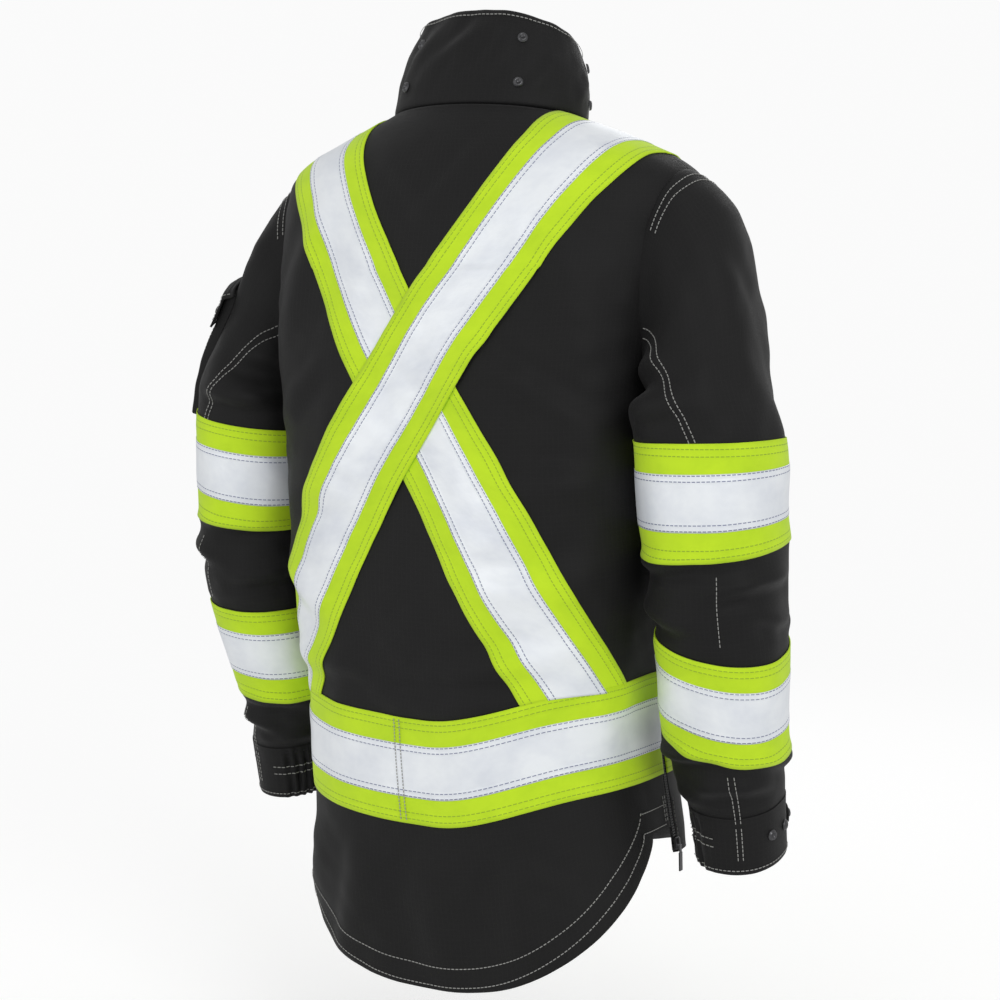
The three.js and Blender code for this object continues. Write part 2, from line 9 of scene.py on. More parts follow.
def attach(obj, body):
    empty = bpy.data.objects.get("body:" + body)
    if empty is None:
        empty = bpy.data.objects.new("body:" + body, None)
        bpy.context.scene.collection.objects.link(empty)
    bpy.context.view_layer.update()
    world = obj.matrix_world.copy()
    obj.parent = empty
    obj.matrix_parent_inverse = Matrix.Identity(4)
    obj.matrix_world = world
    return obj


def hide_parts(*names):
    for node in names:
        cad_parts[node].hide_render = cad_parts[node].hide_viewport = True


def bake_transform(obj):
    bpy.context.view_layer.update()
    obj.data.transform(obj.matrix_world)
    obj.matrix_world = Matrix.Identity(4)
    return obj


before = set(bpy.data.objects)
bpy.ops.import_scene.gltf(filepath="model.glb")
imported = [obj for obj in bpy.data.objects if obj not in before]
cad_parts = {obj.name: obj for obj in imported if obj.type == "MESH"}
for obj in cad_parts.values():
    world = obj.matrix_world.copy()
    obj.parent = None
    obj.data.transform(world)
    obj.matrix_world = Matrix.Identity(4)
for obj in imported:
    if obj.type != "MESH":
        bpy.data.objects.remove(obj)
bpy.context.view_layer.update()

# The coat's body: ripstop shell, light padding and lining sewn as one tube that hangs from the
# shoulders. Each level below the neck gives half width, depth behind, depth in front, squareness
# of the outline, and how far the front of the level dips.
BODY_LEVELS = np.array([
    [0.000, 0.100, 0.074, 0.072, 2.0, 0.024],
    [0.016, 0.133, 0.085, 0.082, 2.1, 0.016],
    [0.032, 0.166, 0.094, 0.094, 2.1, 0.009],
    [0.048, 0.198, 0.101, 0.105, 2.2, 0.004],
    [0.064, 0.218, 0.108, 0.114, 2.2, 0.000],
    [0.086, 0.222, 0.116, 0.122, 2.3, 0.000],
    [0.130, 0.218, 0.128, 0.134, 2.4, 0.000],
    [0.190, 0.2080, 0.140, 0.134, 2.7, 0.000],
    [0.259, 0.1985, 0.148, 0.134, 3.0, 0.000],
    [0.350, 0.1945, 0.150, 0.134, 3.1, 0.000],
    [0.449, 0.1925, 0.148, 0.134, 3.0, 0.000],
    [0.516, 0.1848, 0.1432, 0.134, 2.8, 0.000],
    [0.576, 0.180, 0.140, 0.134, 2.7, 0.000],
    [0.676, 0.184, 0.142, 0.134, 2.6, 0.000],
    [0.731, 0.190, 0.147, 0.134, 2.6, 0.000],
    [0.834, 0.195, 0.152, 0.134, 2.6, 0.000],
])


def along_rows(rows, at):
    """The columns after the first of rows, where the first column is at, on smooth curves."""
    at = np.asarray(at, float)
    x, y = rows[:, 0], rows[:, 1:]
    slope = np.gradient(y, x, axis=0)
    i = np.clip(np.searchsorted(x, at, side="right") - 1, 0, len(x) - 2)
    step = (x[i + 1] - x[i])[..., None]
    t = ((np.clip(at, x[0], x[-1]) - x[i]))[..., None] / step
    value = (
        (1 + 2 * t) * (1 - t) ** 2 * y[i]
        + t * (1 - t) ** 2 * step * slope[i]
        + t * t * (3 - 2 * t) * y[i + 1]
        + t * t * (t - 1) * step * slope[i + 1]
    )
    return np.moveaxis(value, -1, 0)


def ease(low, high, x):
    """0 below low, 1 above high, and smooth between them."""
    t = np.clip((np.asarray(x, float) - low) / (high - low), 0, 1)
    return t * t * (3 - 2 * t)


def ripple(points, size, seed, count=20, stretch=(1, 1, 1)):
    """Soft random waves of about that size, from -1 to 1, the same on every run."""
    rng = np.random.default_rng(seed)
    total = np.zeros(points.shape[:-1])
    for _ in range(count):
        way = rng.normal(size=3)
        way /= np.linalg.norm(way)
        way /= np.array(stretch)
        pitch = size * rng.uniform(0.65, 1.6)
        total += np.sin(points @ way * (2 * math.pi / pitch) + rng.uniform(0, 2 * math.pi))
    return total / math.sqrt(count)


def crease(p, q, start, end, width, height):
    """A fold from start to end on the flat coordinates p and q, with a soft side and a sharper one."""
    a, b = np.array(start, float), np.array(end, float)
    way = b - a
    length = np.linalg.norm(way)
    way /= length
    along = ((p - a[0]) * way[0] + (q - a[1]) * way[1]) / length
    off = (p - a[0]) * -way[1] + (q - a[1]) * way[0]
    off = off + 0.25 * width * np.sin(along * 5 + 40 * (a[0] + b[1]))
    fade = ease(-0.15, 0.3, along) * (1 - ease(0.6, 1.15, along))
    profile = np.exp(-((off / width) ** 2)) - 0.55 * np.exp(-(((off - 1.3 * width) / (0.8 * width)) ** 2))
    return height * fade * profile


def body_plain(angle, drop):
    a, b, f, n, tilt = along_rows(BODY_LEVELS, drop)
    c, s = np.cos(angle), np.sin(angle)
    reach = (np.abs(c) ** n + np.abs(s) ** n) ** (1 / n)
    rise = np.sign(s) * (np.abs(s) / reach) ** (n / 2)
    y = np.where(s > 0, b, f) * s / reach
    sway = -0.030 * ease(0.56, 0.84, drop)
    return np.stack([a * c / reach + sway, y, -drop - tilt * (1 - rise) / 2], axis=-1)


# Folds of the body: where each starts and ends across and up, its width and its height
BACK_FOLDS = [
    [(-0.175, -0.300), (-0.060, -0.215), 0.014, 0.0032],
    [(-0.178, -0.350), (-0.080, -0.335), 0.016, 0.0034],
    [(-0.178, -0.420), (-0.070, -0.455), 0.018, 0.0038],
    [(-0.165, -0.500), (-0.020, -0.525), 0.014, 0.0036],
    [(-0.120, -0.548), (0.050, -0.556), 0.012, 0.0034],
    [(0.178, -0.300), (0.080, -0.230), 0.014, 0.0030],
    [(0.178, -0.380), (0.070, -0.350), 0.018, 0.0034],
    [(0.176, -0.440), (0.090, -0.470), 0.018, 0.0040],
    [(0.172, -0.520), (0.030, -0.535), 0.014, 0.0036],
    [(-0.120, -0.075), (-0.165, -0.230), 0.018, 0.0036],
    [(0.120, -0.075), (0.165, -0.230), 0.018, 0.0034],
    [(-0.060, -0.035), (0.015, -0.120), 0.012, 0.0022],
    [(0.062, -0.035), (-0.010, -0.105), 0.012, 0.0020],
    [(-0.110, -0.690), (-0.130, -0.790), 0.022, 0.0045],
    [(-0.030, -0.690), (-0.040, -0.830), 0.026, 0.0040],
    [(0.060, -0.690), (0.070, -0.830), 0.024, 0.0046],
    [(0.130, -0.690), (0.150, -0.780), 0.020, 0.0040],
]
FRONT_FOLDS = [
    [(-0.160, -0.300), (-0.050, -0.240), 0.016, 0.0030],
    [(-0.165, -0.420), (-0.060, -0.440), 0.018, 0.0030],
    [(-0.150, -0.530), (-0.040, -0.545), 0.014, 0.0030],
    [(0.160, -0.320), (0.060, -0.250), 0.016, 0.0030],
    [(0.165, -0.440), (0.060, -0.430), 0.018, 0.0032],
    [(0.150, -0.520), (0.050, -0.540), 0.014, 0.0030],
]


def body_relief(plain, angle, drop):
    x, y, z = plain[..., 0], plain[..., 1], plain[..., 2]
    behind = ease(-0.03, 0.05, y)
    total = np.zeros(x.shape)
    for start, end, width, height in BACK_FOLDS:
        total += behind * crease(x, z, start, end, width, height)
    for start, end, width, height in FRONT_FOLDS:
        total += (1 - behind) * crease(x, z, start, end, width, height)
    total = 1.3 * total + 0.0036 * ripple(plain, 0.24, 3)
    total += 0.0016 * ripple(plain, 0.085, 5, stretch=(1, 1, 1.8))
    total += 0.00035 * ripple(plain, 0.030, 8)
    calm = ease(0.0, 0.05, -z) * (0.45 + 0.55 * ease(0.06, 0.2, -z))
    calm *= 1 - 0.88 * (1 - behind) * (1 - ease(0.035, 0.085, np.abs(x)))
    tape = 1 - 0.45 * ease(0.56, 0.60, -z) * (1 - ease(0.67, 0.71, -z))
    return total * calm * tape


def lifted(plain_at, relief_at, u, v, lift, facing=1):
    """Points on a surface raised along its normal by its folds and by lift."""
    step = 1e-4
    here = plain_at(u, v)
    du = plain_at(u + step, v) - plain_at(u - step, v)
    dv = plain_at(u, v + step) - plain_at(u, v - step)
    normal = facing * np.cross(dv, du)
    normal /= np.maximum(np.linalg.norm(normal, axis=-1, keepdims=True), 1e-12)
    return here + normal * (relief_at(here, u, v) + lift)[..., None]


def body(angle, drop, lift=0.0):
    angle, drop = np.broadcast_arrays(np.asarray(angle, float), np.asarray(drop, float))
    return lifted(body_plain, body_relief, angle, drop, lift + np.zeros(angle.shape))


def on_side(side, angle):
    """The same place on the wearer's left (1) or right (-1)."""
    return angle if side > 0 else math.pi - angle


def body_address(x, y, z):
    """The angle and drop on the body's surface of points that lie on it or near it."""
    drop = -z
    for _ in range(3):
        a, b, f, n, tilt = along_rows(BODY_LEVELS, drop)
        depth = np.where(y > 0, b, f)
        rise = np.sign(y) * np.clip(np.abs(y) / depth, 0, 1) ** (n / 2)
        drop = -z - tilt * (1 - rise) / 2
    return np.arctan2(y / depth, x / a), drop


def body_where(x, height, turn=None):
    """The address where a level ray at x and height meets the body, or one from 0.15 m down that
    leans turn from level front (-90 degrees) through upright to level back."""
    if turn is None:
        turn = np.full(np.shape(x), math.pi / 2)
    x, height, turn = np.broadcast_arrays(x, height, turn)
    near, far = np.zeros(x.shape), np.full(x.shape, 0.24)
    for _ in range(34):
        mid = (near + far) / 2
        y, z = mid * np.sin(turn), height + mid * np.cos(turn)
        angle, drop = body_address(x, y, np.minimum(z, 0.02))
        a, b, f, n, tilt = along_rows(BODY_LEVELS, np.clip(drop, 0, 0.83))
        depth = np.where(y > 0, b, f)
        outside = (np.abs(x) / a) ** n + (np.abs(y) / depth) ** n > 1
        outside |= drop < 0
        far = np.where(outside, mid, far)
        near = np.where(outside, near, mid)
    return body_address(x, near * np.sin(turn), height + near * np.cos(turn))


# The ripstop cloth of the shell: black polyester with a slightly raised grid of heavier threads
# every 5 mm, a faint sheen, and dust and wear that lighten it in soft patches.
def linear(red, green, blue):
    return tuple(((c + 0.055) / 1.055) ** 2.4 if c > 0.04045 else c / 12.92
                 for c in (red / 255, green / 255, blue / 255)) + (1,)


def node(tree, kind, **inputs):
    """A shader node, with its inputs given by name or number as values or as other sockets."""
    made = tree.nodes.new(kind)
    for key, value in inputs.items():
        socket = made.inputs[int(key[1:]) if key[0] == "_" else key.replace("_", " ")]
        if isinstance(value, bpy.types.NodeSocket):
            tree.links.new(value, socket)
        else:
            socket.default_value = value
    return made


def sums(tree, operation, *values):
    made = node(tree, "ShaderNodeMath")
    made.operation = operation
    for number, value in enumerate(values):
        if isinstance(value, bpy.types.NodeSocket):
            tree.links.new(value, made.inputs[number])
        else:
            made.inputs[number].default_value = value
    return made.outputs[0]


def group(name, inputs, outputs):
    made = bpy.data.node_groups.new(name, "ShaderNodeTree")
    for title, kind, value in inputs:
        socket = made.interface.new_socket(title, in_out="INPUT", socket_type=kind)
        if value is not None:
            socket.default_value = value
    for title, kind in outputs:
        made.interface.new_socket(title, in_out="OUTPUT", socket_type=kind)
    return made, made.nodes.new("NodeGroupInput"), made.nodes.new("NodeGroupOutput")


woven, woven_in, woven_out = group(
    "woven_cloth",
    [("Grid", "NodeSocketFloat", 0.005), ("Thread", "NodeSocketFloat", 0.0009)],
    [("Lines", "NodeSocketFloat"), ("Height", "NodeSocketFloat"), ("Patches", "NodeSocketFloat")],
)
uv = node(woven, "ShaderNodeUVMap").outputs[0]
parts = node(woven, "ShaderNodeSeparateXYZ", _0=uv)
lines = []
threads = []
for axis in (0, 1):
    pitch = sums(woven, "DIVIDE", parts.outputs[axis], woven_in.outputs["Grid"])
    phase = sums(woven, "FRACT", pitch)
    lines.append(sums(woven, "LESS_THAN", phase, 0.16))
    fine = sums(woven, "DIVIDE", parts.outputs[axis], woven_in.outputs["Thread"])
    threads.append(sums(woven, "SINE", sums(woven, "MULTIPLY", fine, 2 * math.pi)))
either = sums(woven, "MAXIMUM", lines[0], lines[1])
weave = sums(woven, "MULTIPLY", threads[0], threads[1])
grain = node(woven, "ShaderNodeTexNoise", Vector=uv, Scale=900.0, Detail=2.0).outputs[0]
height = sums(woven, "ADD", sums(woven, "MULTIPLY", either, 0.5), sums(woven, "MULTIPLY", weave, 0.25))
height = sums(woven, "ADD", height, sums(woven, "MULTIPLY", grain, 0.4))
patches = node(woven, "ShaderNodeTexNoise", Vector=uv, Scale=9.0, Detail=5.0, Roughness=0.6).outputs[0]
woven.links.new(either, woven_out.inputs["Lines"])
woven.links.new(height, woven_out.inputs["Height"])
woven.links.new(patches, woven_out.inputs["Patches"])


def cloth_material(name, dark, light, roughness, sheen, grid=0.005, thread=0.0009, bump=0.35,
                   line_share=0.5):
    made = bpy.data.materials.new(name)
    made.use_nodes = True
    tree = made.node_tree
    shader = tree.nodes["Principled BSDF"]
    cloth_node = tree.nodes.new("ShaderNodeGroup")
    cloth_node.node_tree = woven
    cloth_node.inputs["Grid"].default_value = grid
    cloth_node.inputs["Thread"].default_value = thread
    share = sums(tree, "MULTIPLY", cloth_node.outputs["Lines"], line_share)
    share = sums(tree, "ADD", share, sums(tree, "MULTIPLY", cloth_node.outputs["Patches"], 0.5))
    colour = tree.nodes.new("ShaderNodeMix")
    colour.data_type = "RGBA"
    tree.links.new(share, colour.inputs[0])
    colour.inputs[6].default_value = dark
    colour.inputs[7].default_value = light
    tree.links.new(colour.outputs[2], shader.inputs["Base Color"])
    rough = sums(tree, "ADD", sums(tree, "MULTIPLY", cloth_node.outputs["Patches"], 0.16), roughness - 0.08)
    tree.links.new(rough, shader.inputs["Roughness"])
    shader.inputs["Sheen Weight"].default_value = sheen
    shader.inputs["Sheen Roughness"].default_value = 0.45
    shader.inputs["Specular IOR Level"].default_value = 0.28
    height = cloth_node.outputs["Height"]
    relief = node(tree, "ShaderNodeBump", Strength=bump, Distance=0.0004, Height=height)
    tree.links.new(relief.outputs[0], shader.inputs["Normal"])
    return made


ripstop = cloth_material("black_ripstop", linear(6, 6, 7), linear(27, 26, 26), 0.64, 0.05, line_share=0.14)
lining = cloth_material("quilted_taffeta", linear(24, 24, 26), linear(46, 46, 50), 0.45, 0.05,
                        grid=0.05, thread=0.0006, bump=0.5, line_share=0.15)


def cloth(name, shape, across, along, material, inside=None, thickness=0.0, keep=None, size=None,
          probe=0.5):
    """Cloth laid on shape(u, v, lift), with u and v from 0 to 1 and lift along the outer side. Its
    thickness goes inwards, inside is the inner face's material, keep says which points stay, size is
    its length and width for the pattern, and probe is a v at which its outer side is plain to see."""
    bm = bmesh.new()
    bmesh.ops.create_grid(bm, x_segments=across, y_segments=along, size=0.5)
    flat = np.array([v.co[:2] for v in bm.verts]) + 0.5
    u, v = flat[:, 0], flat[:, 1]
    points = shape(u, v)
    if size is None:
        fine = np.linspace(0, 1, 60)
        middle = np.full(60, 0.5)
        lengths = []
        for line in (shape(fine, middle), shape(middle, fine)):
            steps = np.linalg.norm(np.diff(line, axis=0), axis=1)
            lengths.append(np.concatenate([[0], np.cumsum(steps)]))
        places = np.stack([np.interp(u, fine, lengths[0]), np.interp(v, fine, lengths[1])], axis=-1)
    else:
        places = np.stack([u * size[0], v * size[1]], axis=-1)
    for vertex, point in zip(bm.verts, points):
        vertex.co = point
    bm.verts.index_update()
    layer = bm.loops.layers.uv.new("UVMap")
    number = bm.verts.layers.int.new("number")
    for vertex in bm.verts:
        vertex[number] = vertex.index
    for face in bm.faces:
        face.smooth = True
        for loop in face.loops:
            loop[layer].uv = places[loop.vert.index]
    if keep is not None:
        kept = keep(points)
        gone = [f for f in bm.faces if not all(kept[v.index] for v in f.verts)]
        bmesh.ops.delete(bm, geom=gone, context="FACES")
    bmesh.ops.remove_doubles(bm, verts=bm.verts, dist=1e-6)
    bmesh.ops.dissolve_degenerate(bm, edges=bm.edges, dist=1e-6)
    bm.normal_update()
    middle = np.array([0.5])
    high = np.array([probe])
    centre = Vector(shape(middle, high)[0])
    out = shape(middle, high, 0.001)[0] - shape(middle, high)[0]
    nearest = min(bm.faces, key=lambda f: (f.calc_center_median() - centre).length_squared)
    if nearest.normal.dot(Vector(out)) < 0:
        bmesh.ops.reverse_faces(bm, faces=bm.faces)
    if thickness:
        back_points = shape(u, v, -thickness)
        raised = bmesh.ops.extrude_face_region(bm, geom=bm.faces[:], use_keep_orig=True)["geom"]
        under = [g for g in raised if isinstance(g, bmesh.types.BMFace)]
        for vertex in (g for g in raised if isinstance(g, bmesh.types.BMVert)):
            vertex.co = back_points[vertex[number]]
        way = nearest.normal.copy()
        bmesh.ops.recalc_face_normals(bm, faces=bm.faces)
        if nearest.normal.dot(way) < 0:
            bmesh.ops.reverse_faces(bm, faces=bm.faces)
        for face in under:
            face.material_index = 1 if inside else 0
        for face in bm.faces:
            face.smooth = True
    mesh = bpy.data.meshes.new(name)
    bm.to_mesh(mesh)
    bm.free()
    mesh.materials.append(material)
    if inside:
        mesh.materials.append(inside)
    made = bpy.data.objects.new(name, mesh)
    bpy.context.scene.collection.objects.link(made)
    return made


def vent_turn(drop):
    """How far in front of the side, in radians, the seam between back and side panel runs."""
    return 0.16 * ease(0.26, 0.54, drop)


def vent_edge(drop, side=1):
    """The angle of the back panel's edge (1) or the side panel's (-1), apart where the vent is open."""
    return side * 0.030 * ease(0.545, 0.556, drop) - vent_turn(drop)


def band_split(angle):
    """How far down the back meets the tail, under the waist tape."""
    return 0.626 - 0.020 * np.cos(angle) ** 2


def armhole_free(points):
    """True where a point is clear of the armholes."""
    hole = ((points[:, 1] - 0.005) / 0.050) ** 2 + ((points[:, 2] + 0.172) / 0.090) ** 2
    return (np.abs(points[:, 0]) < 0.14) | (hole > 1)


def back_shape(u, v, lift=0.0):
    drop = (0.5 * v + 0.5 * v * v) * band_split(math.pi * u)
    edge = vent_edge(drop)
    return body(edge + (math.pi - 2 * edge) * u, drop, lift)


back = cloth("back", back_shape, 210, 190, ripstop, lining, 0.0055, keep=armhole_free)
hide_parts("back_panel", "body_lining")
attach(back, "torso")


# The drop tail: two layers of the same cloth below the waist tape, cut in a long curve that is
# lowest at the middle and ends at a zipped vent on each side.
def hem_drop(angle):
    """How far down the tail's curved hem is."""
    x = body_plain(angle, np.full(np.shape(angle), 0.75))[..., 0]
    inside = np.clip(1 - ((x + 0.016) / 0.196) ** 2, 0, 1)
    return 0.680 + 0.142 * inside ** (0.375 + 0.2 * ease(0.0, 0.15, -x))


def tail_shape(u, v, lift=0.0):
    top = band_split(math.pi * u) - 0.002
    drop = top + v * (hem_drop(math.pi * u) - top)
    edge = vent_edge(drop)
    return body(edge + (math.pi - 2 * edge) * u, drop, lift)


tail = cloth("tail", tail_shape, 200, 70, ripstop, lining, 0.0050)
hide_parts("tail_panel")
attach(tail, "torso")


# The front: a yoke over each shoulder, a panel beside each vent, and two front panels that meet
# at the zip and swing open about the side panels' edges.
def angle_at(x, drop, front=True):
    """The angle at which a level of the body is x from its middle."""
    a, b, f, n, tilt = along_rows(BODY_LEVELS, drop)
    q = np.clip(np.abs(x) / a, 0, 1) ** n
    angle = np.arctan2((1 - q) ** (1 / n), q ** (1 / n))
    angle = np.where(np.asarray(x) >= 0, angle, math.pi - angle)
    return -angle if front else angle


HINGE_X = 0.150
PANEL_TOP = 0.130
FRONT_HEM = 0.731


def front_hem(x):
    """How far down the front hem is, rising towards the vents."""
    return FRONT_HEM - 0.026 * ease(0.07, 0.19, x)


for word, side in (("left", 1), ("right", -1)):

    def inner_yoke(u, v, lift=0.0):
        drop = v * PANEL_TOP
        inner = np.minimum(angle_at(0.0036, drop), -1.2)
        outer = angle_at(HINGE_X, drop)
        return body(on_side(side, inner + u * (outer - inner)), drop, lift)

    def outer_yoke(u, v, lift=0.0):
        drop = 0.0245 + v * (0.190 - 0.0245)
        inner = angle_at(HINGE_X, drop)
        return body(on_side(side, inner * (1 - u)), drop, lift)

    def side_shape(u, v, lift=0.0):
        drop = 0.189 + v * (front_hem(0.19 - 0.04 * u) - 0.189)
        edge = vent_edge(drop, -1)
        return body(on_side(side, edge + u * (angle_at(HINGE_X, drop) - edge)), drop, lift)

    def front_shape(u, v, lift=0.0):
        x = 0.0044 + u * (HINGE_X - 0.0005 - 0.0044)
        drop = PANEL_TOP + 0.0006 + v * (front_hem(x) - PANEL_TOP - 0.0006)
        return body(on_side(side, angle_at(x, drop)), drop, lift)

    yoke = cloth(f"{word}_yoke", inner_yoke, 56, 56, ripstop, lining, 0.0055)
    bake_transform(yoke)
    cap = cloth(f"{word}_shoulder_cap", outer_yoke, 40, 60, ripstop, lining, 0.0055, keep=armhole_free)
    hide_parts(f"{word}_front_yoke")
    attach(cap, "torso")
    flank = cloth(f"{word}_side", side_shape, 34, 130, ripstop, lining, 0.0055, keep=armhole_free)
    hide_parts(f"{word}_side_panel")
    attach(flank, "torso")
    panel = cloth(f"{word}_front_panel_cloth", front_shape, 60, 150, ripstop, lining, 0.0055)
    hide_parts(f"{word}_front_panel", f"{word}_front_lining")
    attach(panel, f"{word}_front")


# The stand collar: two layers of shell cloth over stiffening, folded at the top, leaning forward
# and lower at the front, where its two ends meet at the zip.
COLLAR_THICK = 0.006
COLLAR_FOLDS = [
    [(-0.052, 0.070), (-0.012, 0.016), 0.010, 0.0026],
    [(-0.020, 0.080), (0.022, 0.030), 0.009, 0.0022],
    [(0.030, 0.078), (0.064, 0.010), 0.011, 0.0026],
    [(0.075, 0.074), (0.100, 0.020), 0.010, 0.0022],
    [(-0.110, 0.060), (-0.070, 0.014), 0.010, 0.0022],
    [(-0.150, 0.050), (-0.130, 0.010), 0.010, 0.0020],
    [(0.130, 0.060), (0.150, 0.012), 0.010, 0.0020],
]


def collar_plain(angle, rise):
    s = np.sin(angle)
    height = 0.064 + (0.088 - 0.064) * (1 + s) / 2
    seam = -0.024 * (1 - s) / 2 + 0.0004
    taper = 0.017 * rise
    bow = 0.004 * np.sin(math.pi * np.clip(rise, 0, 1))
    return np.stack([(0.100 - taper + bow) * np.cos(angle), (0.074 - taper + bow) * s - 0.020 * rise,
                     seam + height * rise], axis=-1)


def collar_relief(plain, angle, rise):
    p = (angle - math.pi / 2) * -0.086
    total = np.zeros(p.shape)
    for start, end, width, height in COLLAR_FOLDS:
        total += crease(p, rise * 0.088, start, end, width, height)
    total += 0.0012 * ripple(plain, 0.07, 31) + 0.0004 * ripple(plain, 0.022, 32)
    return total * ease(-0.05, 0.3, rise)


def collar_outside(angle, rise, lift=0.0):
    angle, rise = np.broadcast_arrays(np.asarray(angle, float), np.asarray(rise, float))
    return lifted(collar_plain, collar_relief, angle, rise, lift + np.zeros(angle.shape), -1)


def collar_shape(u, v, lift=0.0):
    open_angle = 0.038
    angle = -math.pi / 2 + open_angle + (2 * math.pi - 2 * open_angle) * u
    outer = np.clip(v / 0.47, 0, 1)
    inner = np.clip((v - 0.53) / 0.47, 0, 1)
    fold = np.clip((v - 0.47) / 0.06, 0, 1) * math.pi
    rise = 1 + 0.03 * np.sin(fold)
    rise = np.where(v < 0.47, outer, np.where(v > 0.53, 1 - inner, rise))
    close = np.clip(np.minimum(np.minimum(u, 1 - u) * 60, rise * 18), 0, 1)
    close = np.sqrt(1 - (1 - close) ** 2)
    puff = 0.0012 * np.sin(math.pi * np.clip(rise, 0, 1)) * np.where(v < 0.5, 1, -1)
    sink = COLLAR_THICK / 2 - (COLLAR_THICK / 2 * np.cos(fold) + puff) * close
    return collar_outside(angle, rise, np.where(v < 0.5, lift, -lift) - sink)


collar = cloth("collar_cloth", collar_shape, 190, 64, ripstop, probe=0.25)
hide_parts("collar")
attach(collar, "torso")


# The sleeves: each is a tube that leaves the armhole, hangs beside the body, bends forward a
# little at the elbow and gathers into its cuff. Each row gives the inner edge (out, down), the
# outer edge (out, down), the middle's y, the half depth and the forward tilt in degrees.
SLEEVE_ROWS = [
    [0.168, 0.268, 0.188, 0.052, 0.003, 0.058, 0],
    [0.195, 0.276, 0.222, 0.068, 0.004, 0.062, 0],
    [0.197, 0.282, 0.254, 0.104, 0.007, 0.069, 0],
    [0.197, 0.288, 0.283, 0.178, 0.014, 0.078, 0],
    [0.196, 0.295, 0.305, 0.250, 0.032, 0.079, 0],
    [0.1955, 0.304, 0.3185, 0.304, 0.032, 0.074, 0],
    [0.197, 0.327, 0.320, 0.327, 0.031, 0.074, 2],
    [0.196, 0.377, 0.320, 0.377, 0.027, 0.073, 5],
    [0.197, 0.400, 0.322, 0.400, 0.023, 0.072, 8],
    [0.198, 0.440, 0.322, 0.440, 0.022, 0.070, 9],
    [0.200, 0.486, 0.320, 0.486, 0.014, 0.066, 10],
    [0.200, 0.509, 0.318, 0.509, 0.010, 0.063, 10],
    [0.200, 0.559, 0.312, 0.559, 0.001, 0.058, 11],
    [0.201, 0.582, 0.311, 0.582, -0.005, 0.055, 12],
    [0.219, 0.646, 0.305, 0.646, -0.019, 0.046, 12],
    [0.220, 0.672, 0.304, 0.672, -0.024, 0.045, 12],
    [0.222, 0.699, 0.303, 0.699, -0.028, 0.044, 12],
]
rows = np.array(SLEEVE_ROWS)
middles = np.stack([(rows[:, 0] + rows[:, 2]) / 2, rows[:, 4], -(rows[:, 1] + rows[:, 3]) / 2], axis=-1)
reach_down = np.concatenate([[0], np.cumsum(np.linalg.norm(np.diff(middles, axis=0), axis=1))])
SLEEVE_LEVELS = np.stack([reach_down, middles[:, 0], middles[:, 2], (rows[:, 2] - rows[:, 0]) / 2,
                          (rows[:, 1] - rows[:, 3]) / 2, rows[:, 4], rows[:, 5],
                          np.radians(rows[:, 6])], axis=-1)
SLEEVE_SQUARE = 2.17
SLEEVE_RADIUS = 0.066


def sleeve_run(z):
    """How far along the sleeve its middle is at height z."""
    return float(np.interp(-z, -middles[:, 2], reach_down))


def sleeve_plain(turn, run):
    cx, cz, ax, az, y, depth, tilt = along_rows(SLEEVE_LEVELS, run)
    c, s = np.cos(turn), np.sin(turn)
    reach = (np.abs(c) ** SLEEVE_SQUARE + np.abs(s) ** SLEEVE_SQUARE) ** (1 / SLEEVE_SQUARE)
    c, s = c / reach, s / reach
    back, down = depth * np.cos(tilt) * s, depth * np.sin(tilt) * s
    return np.stack([cx + ax * c, y + back, cz + az * c - down], axis=-1)


# Folds of a sleeve: start and end as (turn in degrees from the outer side, height), width, height
SLEEVE_FOLDS = [
    [(172, -0.262), (85, -0.222), 0.011, 0.0050],
    [(168, -0.285), (60, -0.275), 0.010, 0.0042],
    [(150, -0.232), (100, -0.170), 0.011, 0.0034],
    [(60, -0.110), (25, -0.210), 0.018, 0.0030],
    [(20, -0.140), (5, -0.270), 0.020, 0.0030],
    [(150, -0.412), (50, -0.408), 0.009, 0.0052],
    [(75, -0.436), (-20, -0.424), 0.010, 0.0046],
    [(165, -0.452), (85, -0.464), 0.010, 0.0046],
    [(30, -0.462), (-40, -0.470), 0.009, 0.0040],
    [(-60, -0.414), (-140, -0.418), 0.009, 0.0050],
    [(-50, -0.440), (-150, -0.436), 0.010, 0.0056],
    [(-40, -0.466), (-130, -0.462), 0.010, 0.0046],
    [(150, -0.600), (60, -0.596), 0.009, 0.0044],
    [(110, -0.620), (20, -0.612), 0.009, 0.0040],
    [(40, -0.600), (-50, -0.606), 0.009, 0.0040],
    [(170, -0.632), (70, -0.634), 0.008, 0.0034],
]


